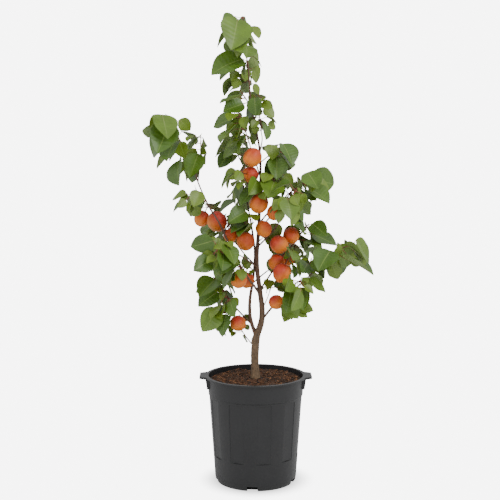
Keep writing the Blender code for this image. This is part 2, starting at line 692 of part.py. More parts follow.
def grow_mass(name, stems, clearance):
    """The leaves of a mass: each node's leaf is tried until it fits its space and touches nothing."""
    _, height, _, count, longest, per_node, space, seed = MASSES[name]
    path = stems[name][0]
    low, high = (np.array([side[k] for side in space]) * CM for k in (0, 1))
    rng = np.random.default_rng(seed)
    phase = rng.uniform(0, 2 * math.pi)
    nodes = math.ceil(count / per_node)
    first = 0.10 if height is None else 0.45
    grown = []
    for i in range(count):
        share = min(1.0, first + (1 - first) * (i // per_node) / max(1, nodes - 1))
        here, along = point_at(path, share), direction_at(path, share)
        for draw in rng.uniform(size=(TRIES, 8)):
            leaf = shape_leaf(draw, phase + i * GOLDEN_TURN, here, along, longest * CM)
            leaf["owner"] = name
            ring = blade_points(leaf, BOX_U, BOX_V)
            if ((ring > low) & (ring < high)).all() and clearance.place(leaf):
                grown.append(leaf)
                break
    return grown


def link(name, mesh, collection, material=None):
    made = bpy.data.objects.new(name, mesh)
    collection.objects.link(made)
    if material is not None:
        made.data.materials.clear()
        made.data.materials.append(material)
    return made


def evaluated_mesh(item):
    bpy.context.view_layer.update()
    graph = bpy.context.evaluated_depsgraph_get()
    return bpy.data.meshes.new_from_object(item.evaluated_get(graph))


def weld(mesh, distance=1e-6):
    shape = bmesh.new()
    shape.from_mesh(mesh)
    bmesh.ops.remove_doubles(shape, verts=shape.verts, dist=distance)
    bmesh.ops.recalc_face_normals(shape, faces=shape.faces)
    shape.to_mesh(mesh)
    shape.free()


def tube(name, route, radii, resolution, collection):
    """A tapering limb: a poly curve with a round bevel and filled caps, made a mesh and welded.

    Resolution 0, 1, 2 and 3 give 4, 6, 8 and 10 sides.
    """
    curve = bpy.data.curves.new(name + "_curve", "CURVE")
    curve.dimensions = "3D"
    curve.bevel_depth = 1.0
    curve.bevel_resolution = resolution
    curve.use_fill_caps = True
    curve.twist_mode = "MINIMUM"
    line = curve.splines.new("POLY")
    line.points.add(len(route) - 1)
    for knot, place, radius in zip(line.points, route, radii):
        knot.co = (*place, 1.0)
        knot.radius = radius
    guide = bpy.data.objects.new(name + "_guide", curve)
    collection.objects.link(guide)
    mesh = evaluated_mesh(guide)
    bpy.data.objects.remove(guide, do_unlink=True)
    weld(mesh)
    return link(name, mesh, collection)


def leaf_solid(leaf, collection):
    """A leaf as one loft of four-cornered sections: stalk root, blade foot, two stations and the tip."""
    root, base = leaf["stalk"][0] - leaf["along"] * leaf["sink"], leaf["base"]
    thick = BLADE_THICKNESS * leaf["length"] / 2
    stalk = unit(base - root)
    sections = []
    for place, onward, width in ((root, stalk, STALK_RADIUS), (base, unit(stalk + leaf["axis"]), FOOT_WIDTH)):
        side = unit(leaf["side"] - onward * float(leaf["side"] @ onward))
        wide, deep = side * width, cross(side, onward) * STALK_RADIUS
        sections.append([place - wide, place + deep, place + wide, place - deep])
    for u in SOLID_STATIONS:
        left, middle, right = (blade_points(leaf, [u], [v])[0] for v in (-SOLID_WIDEN, 0.0, SOLID_WIDEN))
        sections.append([left, middle + thick * leaf["normal"], right, middle - thick * leaf["normal"]])
    tip = blade_points(leaf, [1.0], [0.0])[0]
    shape = bmesh.new()
    rings = [[shape.verts.new(p) for p in section] for section in sections]
    point = shape.verts.new(tip)
    shape.faces.new(rings[0])
    for near, far in zip(rings[:-1], rings[1:]):
        for k in range(4):
            shape.faces.new((near[k], near[(k + 1) % 4], far[(k + 1) % 4], far[k]))
    for k in range(4):
        shape.faces.new((rings[-1][k], rings[-1][(k + 1) % 4], point))
    bmesh.ops.triangulate(shape, faces=shape.faces)
    bmesh.ops.recalc_face_normals(shape, faces=shape.faces)
    mesh = bpy.data.meshes.new("leaf")
    shape.to_mesh(mesh)
    shape.free()
    return link("leaf", mesh, collection)


def ball(centre, radius, collection):
    """An apricot: a ball a little narrower across its seam."""
    shape = bmesh.new()
    bmesh.ops.create_icosphere(shape, subdivisions=2, radius=radius)
    bmesh.ops.scale(shape, vec=Vector((1.0, 0.95, 1.0)), verts=shape.verts)
    bmesh.ops.translate(shape, vec=Vector(centre), verts=shape.verts)
    mesh = bpy.data.meshes.new("apricot")
    shape.to_mesh(mesh)
    shape.free()
    return link("apricot", mesh, collection)


def boolean(item, other, operation, solver="EXACT"):
    """Joins or cuts item with an object or a whole collection, and applies it."""
    step = item.modifiers.new("shape", "BOOLEAN")
    step.operation = operation
    step.solver = solver
    if isinstance(other, bpy.types.Collection):
        step.operand_type = "COLLECTION"
        step.collection = other
    else:
        step.object = other
    mesh = evaluated_mesh(item)
    item.modifiers.clear()
    old = item.data
    item.data = mesh
    bpy.data.meshes.remove(old)


def shells(shape):
    """The connected groups of faces of a bmesh, with the volume that each encloses."""
    seen, groups = set(), []
    for seed in shape.faces:
        if seed.index in seen:
            continue
        stack, group = [seed], []
        seen.add(seed.index)
        while stack:
            face = stack.pop()
            group.append(face)
            for edge in face.edges:
                for near in edge.link_faces:
                    if near.index not in seen:
                        seen.add(near.index)
                        stack.append(near)
        volume = 0.0
        for face in group:
            corners = [v.co for v in face.verts]
            for k in range(1, len(corners) - 1):
                volume += corners[0].dot(corners[k].cross(corners[k + 1])) / 6
        groups.append((volume, group))
    return groups


def keep_body(item):
    """Keeps the largest shell, so hollows that fusing sealed are filled and loose scraps are gone."""
    shape = bmesh.new()
    shape.from_mesh(item.data)
    bmesh.ops.remove_doubles(shape, verts=shape.verts, dist=2e-6)
    bmesh.ops.dissolve_degenerate(shape, edges=shape.edges, dist=2e-6)
    shape.faces.index_update()
    groups = shells(shape)
    groups.sort(key=lambda pair: -pair[0])
    spare = [face for _, group in groups[1:] for face in group]
    bmesh.ops.delete(shape, geom=spare, context="FACES")
    bmesh.ops.triangulate(shape, faces=[f for f in shape.faces if len(f.verts) > 4])
    shape.to_mesh(item.data)
    shape.free()
    return len(groups)


def turned(name, profile, collection):
    """A turned body: a profile that starts and ends on the axis, with a Screw modifier, applied."""
    mesh = bpy.data.meshes.new(name)
    mesh.from_pydata([(r, 0, z) for r, z in profile], [(i, i + 1) for i in range(len(profile) - 1)], [])
    item = link(name, mesh, collection)
    screw = item.modifiers.new("turn", "SCREW")
    screw.axis = "Z"
    screw.steps = POT_STEPS
    screw.render_steps = POT_STEPS
    screw.use_merge_vertices = True
    screw.merge_threshold = 1e-5
    screw.use_smooth_shade = True
    made = evaluated_mesh(item)
    item.modifiers.clear()
    item.data = made
    bpy.data.meshes.remove(mesh)
    weld(item.data)
    return item


def box(name, size, centre, turn, collection):
    """A block turned about the pot's axis: size and centre are radial, sideways and up."""
    shape = bmesh.new()
    bmesh.ops.create_cube(shape, size=1.0)
    bmesh.ops.scale(shape, vec=Vector(size), verts=shape.verts)
    mesh = bpy.data.meshes.new(name)
    shape.to_mesh(mesh)
    shape.free()
    item = link(name, mesh, collection)
    for v in item.data.vertices:
        x, y, z = v.co.x + centre[0], v.co.y + centre[1], v.co.z + centre[2]
        v.co = (x * math.cos(turn) - y * math.sin(turn), x * math.sin(turn) + y * math.cos(turn), z)
    return item


def body_radius(height):
    """The outer radius of the tapering side."""
    share = (height - BODY_FOOT_HEIGHT) / (COLLAR_FOOT_HEIGHT - BODY_FOOT_HEIGHT)
    return BODY_FOOT_RADIUS + (BODY_TOP_RADIUS - BODY_FOOT_RADIUS) * share


def pot_profile():
    """The pot's section from the floor's middle, up the inside, over the rim, down the outside."""
    step = COLLAR_FOOT_HEIGHT - 1.5 * MM
    under_rim = POT_HEIGHT - RIM_THICKNESS
    inside = [
        (0.0, FLOOR),
        (FOOT_RADIUS - WALL - 1 * MM, FLOOR),
        (BODY_FOOT_RADIUS - WALL, BODY_FOOT_HEIGHT + 1 * MM),
        (body_radius(step) - WALL, step),
        (MOUTH_RADIUS - 1 * MM, COLLAR_FOOT_HEIGHT + 4 * MM),
        (MOUTH_RADIUS, POT_HEIGHT),
    ]
    outside = [
        (RIM_RADIUS - 0.8 * MM, POT_HEIGHT),
        (RIM_RADIUS, POT_HEIGHT - 0.8 * MM),
        (RIM_RADIUS - 0.4 * MM, under_rim),
        (COLLAR_TOP_RADIUS, under_rim),
        (COLLAR_FOOT_RADIUS, COLLAR_FOOT_HEIGHT),
        (body_radius(step), step),
        (BODY_FOOT_RADIUS, BODY_FOOT_HEIGHT),
        (FOOT_RADIUS + 3.2 * MM, BODY_FOOT_HEIGHT * 0.30),
        (FOOT_RADIUS, 0.0),
        (0.0, 0.0),
    ]
    return inside + outside


def lug_plate(sign, collection):
    """A lug's plate: a flat outline with round corners, extruded to its thickness."""
    corner = 4 * MM
    inner = COLLAR_TOP_RADIUS - 0.7 * MM
    root_x = math.sqrt(RIM_RADIUS**2 - LUG_BASE_HALF**2)
    points = [(inner, -LUG_BASE_HALF * 0.6), (root_x - 1 * MM, -LUG_BASE_HALF)]
    for k in range(5):
        angle = math.radians(-75 + 75 * k / 4)
        points.append((LUG_REACH - corner + corner * math.cos(angle), -LUG_END_HALF + corner * math.sin(angle)))
    points += [(x, -y) for x, y in reversed(points)]
    curve = bpy.data.curves.new("lug_outline", "CURVE")
    curve.dimensions = "2D"
    curve.fill_mode = "BOTH"
    curve.extrude = LUG_THICKNESS / 2
    line = curve.splines.new("POLY")
    line.points.add(len(points) - 1)
    line.use_cyclic_u = True
    for knot, (x, y) in zip(line.points, points):
        knot.co = (x * sign, y * sign, 0.0, 1.0)
    guide = bpy.data.objects.new("lug_guide", curve)
    guide.location = (0, 0, POT_HEIGHT - LUG_THICKNESS / 2 - 0.2 * MM)
    collection.objects.link(guide)
    mesh = evaluated_mesh(guide)
    mesh.transform(guide.matrix_world)
    bpy.data.objects.remove(guide, do_unlink=True)
    weld(mesh)
    return link("lug_plate", mesh, collection)


def lug_web(sign, sideways, collection):
    """A web under a lug: a block whose outer face leans in towards its foot."""
    top = POT_HEIGHT - LUG_THICKNESS + 1 * MM
    wall_x = math.sqrt(COLLAR_TOP_RADIUS**2 - WEB_SPREAD**2)
    inner = wall_x - 1.6 * MM
    outer = wall_x + WEB_TOP_DEPTH
    turn = 0.0 if sign > 0 else math.pi
    web = box(
        "lug_web", (outer - inner, WEB_THICKNESS, WEB_HEIGHT),
        ((outer + inner) / 2, sideways, top - WEB_HEIGHT / 2), 0.0, collection,
    )
    for v in web.data.vertices:
        if v.co.x > wall_x and v.co.z < top - WEB_HEIGHT / 2:
            v.co.x = wall_x + WEB_FOOT_DEPTH
    for v in web.data.vertices:
        v.co.x, v.co.y = v.co.x * math.cos(turn), v.co.y * math.cos(turn)
    return web


def build_pot(parts, cutters, plastic):
    pot = turned("pot", pot_profile(), parts)
    extras = bpy.data.collections.new("pot_extras")
    bpy.context.scene.collection.children.link(extras)
    for sign in (1, -1):
        lug_plate(sign, extras)
        for sideways in (-WEB_SPREAD, WEB_SPREAD):
            lug_web(sign, sideways, extras)
    boolean(pot, extras, "UNION")
    for item in list(extras.objects):
        bpy.data.objects.remove(item, do_unlink=True)
    bpy.data.collections.remove(extras)

    panel = 2 * math.pi / (2 * FLUTES)
    for k in range(FLUTES):
        turn = -math.pi / 2 + FLUTE_TURN + panel * (2 * k + 0.5)
        middle = (FLUTE_BOTTOM + FLUTE_TOP) / 2
        chord = math.cos(panel / 2)
        lean = (body_radius(FLUTE_TOP) - body_radius(FLUTE_BOTTOM)) * chord
        block = box(
            f"flute_cutter_{k}", (0.03, 2 * body_radius(middle) * math.sin(panel / 2), FLUTE_TOP - FLUTE_BOTTOM),
            (body_radius(FLUTE_BOTTOM) * chord - FLUTE_DEPTH + 0.015, 0.0, middle), 0.0, cutters,
        )
        for v in block.data.vertices:
            if v.co.z > middle:
                v.co.x += lean
            x, y = v.co.x, v.co.y
            v.co.x = x * math.cos(turn) - y * math.sin(turn)
            v.co.y = x * math.sin(turn) + y * math.cos(turn)
    for k in range(SLOTS):
        turn = -math.pi / 2 + SLOT_TURN + 2 * math.pi * k / SLOTS
        box(
            f"slot_cutter_{k}", (SLOT_REACH + 0.012, SLOT_WIDTH, SLOT_HEIGHT + 0.002),
            (FOOT_RADIUS - SLOT_REACH + (SLOT_REACH + 0.012) / 2, 0.0, SLOT_HEIGHT / 2 - 0.001), turn, cutters,
        )
    boolean(pot, cutters, "DIFFERENCE")
    for item in cutters.objects:
        item.hide_render = True
        item.display_type = "WIRE"
    pot.data.materials.clear()
    pot.data.materials.append(plastic)
    return pot


def build_mix(parts, material):
    """The potting mix fills the pot, a gap clear of its wall and floor."""
    clear = 0.7 * MM
    step = COLLAR_FOOT_HEIGHT - 1.5 * MM
    share = (MIX_EDGE - COLLAR_FOOT_HEIGHT) / (POT_HEIGHT - COLLAR_FOOT_HEIGHT)
    top_radius = MOUTH_RADIUS - (1 - share) * 1 * MM
    profile = [
        (0.0, MIX_CROWN),
        (MIX_FLAT_RADIUS, MIX_CROWN),
        (top_radius - 6 * MM, MIX_EDGE + 0.6 * MM),
        (top_radius - clear, MIX_EDGE),
        (MOUTH_RADIUS - 1.6 * MM - clear, COLLAR_FOOT_HEIGHT + 4 * MM),
        (body_radius(step) - WALL - clear, step),
        (BODY_FOOT_RADIUS - WALL - clear, BODY_FOOT_HEIGHT + 1 * MM),
        (FOOT_RADIUS - WALL - 1 * MM - clear, FLOOR + GAP),
        (0.0, FLOOR + GAP),
    ]
    mix = turned("potting_mix", profile, parts)
    mix.data.materials.clear()
    mix.data.materials.append(material)
    return mix


def cut_clear(item, route, radii, resolution, cutters):
    """Cuts the item a gap clear of a limb that it starts on."""
    sleeve = tube("sleeve", route, radii + GAP + 0.05 * MM, resolution, cutters)
    boolean(item, sleeve, "DIFFERENCE")
    bpy.data.objects.remove(sleeve, do_unlink=True)


def build_limbs(limbs, parts, cutters, bark):
    for name, (route, radii) in limbs.items():
        carrier, _, _, resolution = LIMBS[name]
        limb = tube(name, route, radii, resolution, parts)
        if carrier is not None:
            cut_clear(limb, *limbs[carrier], LIMBS[carrier][3], cutters)
            keep_body(limb)
        limb.data.materials.clear()
        limb.data.materials.append(bark)
        limb.data.shade_smooth()


def build_mass(name, leaves, limbs, stems, parts, cutters, material):
    """Fuses a mass: stem, leaves, and its fruit on their spurs."""
    path, radii = stems[name]
    mass = tube(name, path, radii, 0, parts)
    pieces = bpy.data.collections.new(name + "_pieces")
    bpy.context.scene.collection.children.link(pieces)
    for leaf in leaves:
        leaf_solid(leaf, pieces)
    for (centre, diameter, owner), (start, heart) in zip(FRUITS, fruit_spurs(stems)):
        if owner != name:
            continue
        ball(np.array(centre) * CM, diameter / 2 * CM, pieces)
        inside = heart + unit(start - heart) * diameter / 4 * CM
        tube("spur", np.array([start, inside]), np.array([SPUR_RADIUS, SPUR_RADIUS]), 0, pieces)
    boolean(mass, pieces, "UNION", "MANIFOLD" if name in MANIFOLD_MASSES else "EXACT")
    for item in list(pieces.objects):
        bpy.data.objects.remove(item, do_unlink=True)
    bpy.data.collections.remove(pieces)
    carrier, height = MASSES[name][:2]
    if height is not None:
        cut_clear(mass, *limbs[carrier], LIMBS[carrier][3], cutters)
    found = keep_body(mass)
    mass.data.materials.clear()
    mass.data.materials.append(material)
    print(f"{name}: {len(leaves)} of {MASSES[name][3]} leaves, {found} shells, {len(mass.data.polygons)} faces")


def main():
    clear_scene()
    parts = new_collection("potted_apricot_tree")
    cutters = new_collection("cutters")
    plastic = principled("pot_plastic", (0.045, 0.045, 0.048), 0.42)
    mix = principled("potting_mix", (0.060, 0.032, 0.020), 0.95)
    bark = principled("bark", (0.110, 0.062, 0.045), 0.8)
    foliage = principled("foliage", (0.085, 0.200, 0.030), 0.55)

    build_pot(parts, cutters, plastic)
    build_mix(parts, mix)
    limbs = {name: limb_shape(name) for name in LIMBS}
    stems = {name: stem_shape(name, limbs) for name in MASSES}
    clearance = Clearance(limbs, stems)
    build_limbs(limbs, parts, cutters, bark)
    total = 0
    for name in MASSES:
        leaves = grow_mass(name, stems, clearance)
        total += len(leaves)
        build_mass(name, leaves, limbs, stems, parts, cutters, foliage)
    print("leaves in all:", total, "apricots:", len(FRUITS))


main()
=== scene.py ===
# %% [markdown]
# # A potted apricot tree
#
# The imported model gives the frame: a pot, its potting mix, a trunk with its boughs, and forty
# masses of foliage. This script dresses it. The tree grows here again by the same rule as in the
# model, so each fine leaf lies where its plain one does, and bark, fruit, pot and mix get the
# surfaces that are seen from close by.

# %% Frame
import json
import math

import bmesh
import bpy
import numpy as np
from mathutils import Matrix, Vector

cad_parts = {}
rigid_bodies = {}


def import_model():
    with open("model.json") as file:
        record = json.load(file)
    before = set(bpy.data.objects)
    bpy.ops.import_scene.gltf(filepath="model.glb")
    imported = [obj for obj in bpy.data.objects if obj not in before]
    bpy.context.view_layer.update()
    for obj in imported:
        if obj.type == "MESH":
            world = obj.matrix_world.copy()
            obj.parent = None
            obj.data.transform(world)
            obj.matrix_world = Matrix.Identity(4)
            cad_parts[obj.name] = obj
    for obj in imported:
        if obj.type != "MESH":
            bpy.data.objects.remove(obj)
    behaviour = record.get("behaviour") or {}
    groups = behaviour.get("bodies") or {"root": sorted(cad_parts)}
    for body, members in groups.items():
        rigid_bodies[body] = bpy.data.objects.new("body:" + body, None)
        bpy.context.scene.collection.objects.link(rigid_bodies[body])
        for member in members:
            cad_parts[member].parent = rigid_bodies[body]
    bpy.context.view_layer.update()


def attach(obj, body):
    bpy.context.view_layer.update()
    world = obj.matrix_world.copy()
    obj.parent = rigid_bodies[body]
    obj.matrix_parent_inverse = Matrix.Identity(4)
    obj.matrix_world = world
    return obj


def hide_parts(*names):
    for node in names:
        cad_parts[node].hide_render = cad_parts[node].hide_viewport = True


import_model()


# %% [markdown]
# ## Sizes
#
# The same named sizes as in the model, in metres unless a comment says otherwise.

# %% Sizes
CM = 0.01
MM = 0.001
GAP = 0.3 * MM
UP = np.array([0.0, 0.0, 1.0])

# The pot: a thin-walled nursery pot with a deep collar, a rim, fluted sides and two lugs.
POT_HEIGHT = 0.2568
RIM_RADIUS = 0.1225
RIM_THICKNESS = 3.3 * MM
MOUTH_RADIUS = 0.1135
COLLAR_TOP_RADIUS = 0.1150
COLLAR_FOOT_RADIUS = 0.1135
COLLAR_FOOT_HEIGHT = 0.2120
BODY_TOP_RADIUS = 0.1120
BODY_FOOT_RADIUS = 0.0985
BODY_FOOT_HEIGHT = 0.0140
FOOT_RADIUS = 0.0935
WALL = 2.5 * MM
FLOOR = 3.0 * MM
POT_STEPS = 240
FLUTES = 10
FLUTE_TURN = math.radians(1.3)
FLUTE_BOTTOM = 0.0650
FLUTE_TOP = 0.2060
FLUTE_DEPTH = 0.5 * MM
SLOTS = 5
SLOT_TURN = math.radians(-5)
SLOT_WIDTH = 25 * MM
SLOT_HEIGHT = 11 * MM
SLOT_REACH = 12 * MM
LUG_REACH = 0.1345
LUG_THICKNESS = 5 * MM
LUG_BASE_HALF = 35 * MM
LUG_END_HALF = 22 * MM
WEB_SPREAD = 25 * MM
WEB_THICKNESS = 4 * MM
WEB_HEIGHT = 26 * MM
WEB_TOP_DEPTH = 8 * MM
WEB_FOOT_DEPTH = 4 * MM

# The potting mix: highest under the trunk, then falling a little towards the wall.
MIX_CROWN = 0.2486
MIX_EDGE = 0.2460

# Trunk: the flare at the soil and the swelling at the fork add millimetres to its radius, and the foot
# radius gives back what the flare adds. The fork's and the foot's height, fade and spread are in cm.
TRUNK_FOOT = 24.93
FLARE = 3.0
FLARE_FADE = 1.6
FORK_SWELL = 1.7
FORK_HEIGHT = 33.0
FORK_SPREAD = 4.5
FLARE_ALLOWANCE = 1.6
TRUNK_TAPER = 1.7
LIMB_TAPER = 1.2
print("pot height:", POT_HEIGHT)

# %% [markdown]
# The trunk and its boughs. Each limb has a route in cm, and radii in mm at its foot and its tip.

# %% Limbs
LIMBS = {
    "trunk": ([(-0.1, 0, 24.93), (-0.2, 0, 30), (0.1, 0, 34.6), (1.3, 0, 38.3), (1.5, 0, 41.5),
        (1.0, 0, 46), (0.4, 0, 50.5), (0.3, 0.2, 55), (0.7, 0.3, 61), (0.9, 0, 67), (1.1, 0, 74),
        (0.9, 0, 79.5), (0, 0, 84.5), (-1.2, 0, 91), (-1.6, 0, 96.5)], (10.5, 1.8)),
    "stem_left": ([(0.0, 0.1, 35.2), (-1.3, 0.5, 39.4), (-1.4, 1.0, 43.8), (-0.6, 2.3, 48.8),
        (-0.2, 3.0, 55), (-1.0, 5.0, 61), (-2.0, 7.5, 66.5)], (4.9, 1.7)),
    "bough_left": ([(0.9, -0.2, 45.4), (-0.5, -1.7, 47.6), (-1.9, -2.5, 49.5), (-4.6, -2.9, 54.1),
        (-6.8, -2.9, 58.7), (-8.8, -3.0, 62.9), (-11.3, -3.2, 67.0), (-13.4, -3.6, 71.9),
        (-13.9, -3.7, 73.8)], (2.9, 1.7)),
    "bough_right": ([(1.0, 0.0, 46.2), (3.9, 1.8, 50.3), (6.0, 3.0, 53.4), (8.1, 3.7, 55.8)], (2.4, 1.6)),
    "bough_right_low": ([(1.45, -0.1, 39.0), (3.8, -1.0, 42.1), (6.5, -1.8, 44.8), (9.4, -2.6, 47.0),
        (11.7, -3.2, 49.2), (14.6, -3.8, 52.0)], (2.8, 1.5)),
    "bough_left_low": (
        [(-1.3, 0.5, 38.2), (-3.6, 0.9, 40.5), (-5.3, 1.3, 42.4), (-7.0, 1.7, 44.8)], (2.3, 1.5)),
    "bough_right_high": (
        [(0.75, 0.1, 62.0), (2.9, 0.4, 64.6), (5.3, 0.6, 66.5), (7.2, 0.4, 68.6)], (2.2, 1.5)),
    "shoot_high_left": ([(1.08, 0, 73.0), (-0.2, -0.6, 77.1), (-1.3, -1.1, 80.3)], (1.8, 1.3)),
    "shoot_high_right": ([(0.95, 0.05, 78.8), (1.5, 0.6, 81.8), (1.3, 0.8, 83.5)], (1.6, 1.2)),
    "bough_front": ([(0.4, 0.2, 56.5), (4.4, -2.6, 61.0), (6.4, -6.4, 65.4)], (2.2, 1.5)),
    "bough_front_left": ([(0.35, 0.05, 51.6), (-2.6, -5.2, 54.4), (-5.4, -8.2, 56.4)], (2.0, 1.4)),
    "bough_back_left": ([(0.92, 0.05, 68.2), (-1.5, 3.5, 72.6), (-4, 7, 77.5)], (2.0, 1.4)),
    "bough_back_right": ([(0.7, 0.3, 60.4), (4, 4.2, 64), (7, 7.5, 67)], (2.1, 1.5)),
    "bough_back_low": ([(-0.75, 1.9, 47.6), (2.4, 5.2, 49.8), (5.5, 8.5, 51.5)], (2.0, 1.4)),
    "bough_back": ([(-0.3, 2.7, 52), (-3.0, 5.4, 54.6), (-5.5, 8.5, 57.5)], (2.0, 1.4)),
}
print("limbs:", len(LIMBS))

# %% [markdown]
# The foliage is forty masses, each a stem with its leaves. A mass has the limb it grows from, the
# height in cm where its stem leaves that limb (None for the limb's tip), and the stem's further
# points. Then come its leaves, the longest leaf in cm, the leaves at a node, the ranges of x, y and z
# in cm that its leaves keep to, and the seed of its growth.

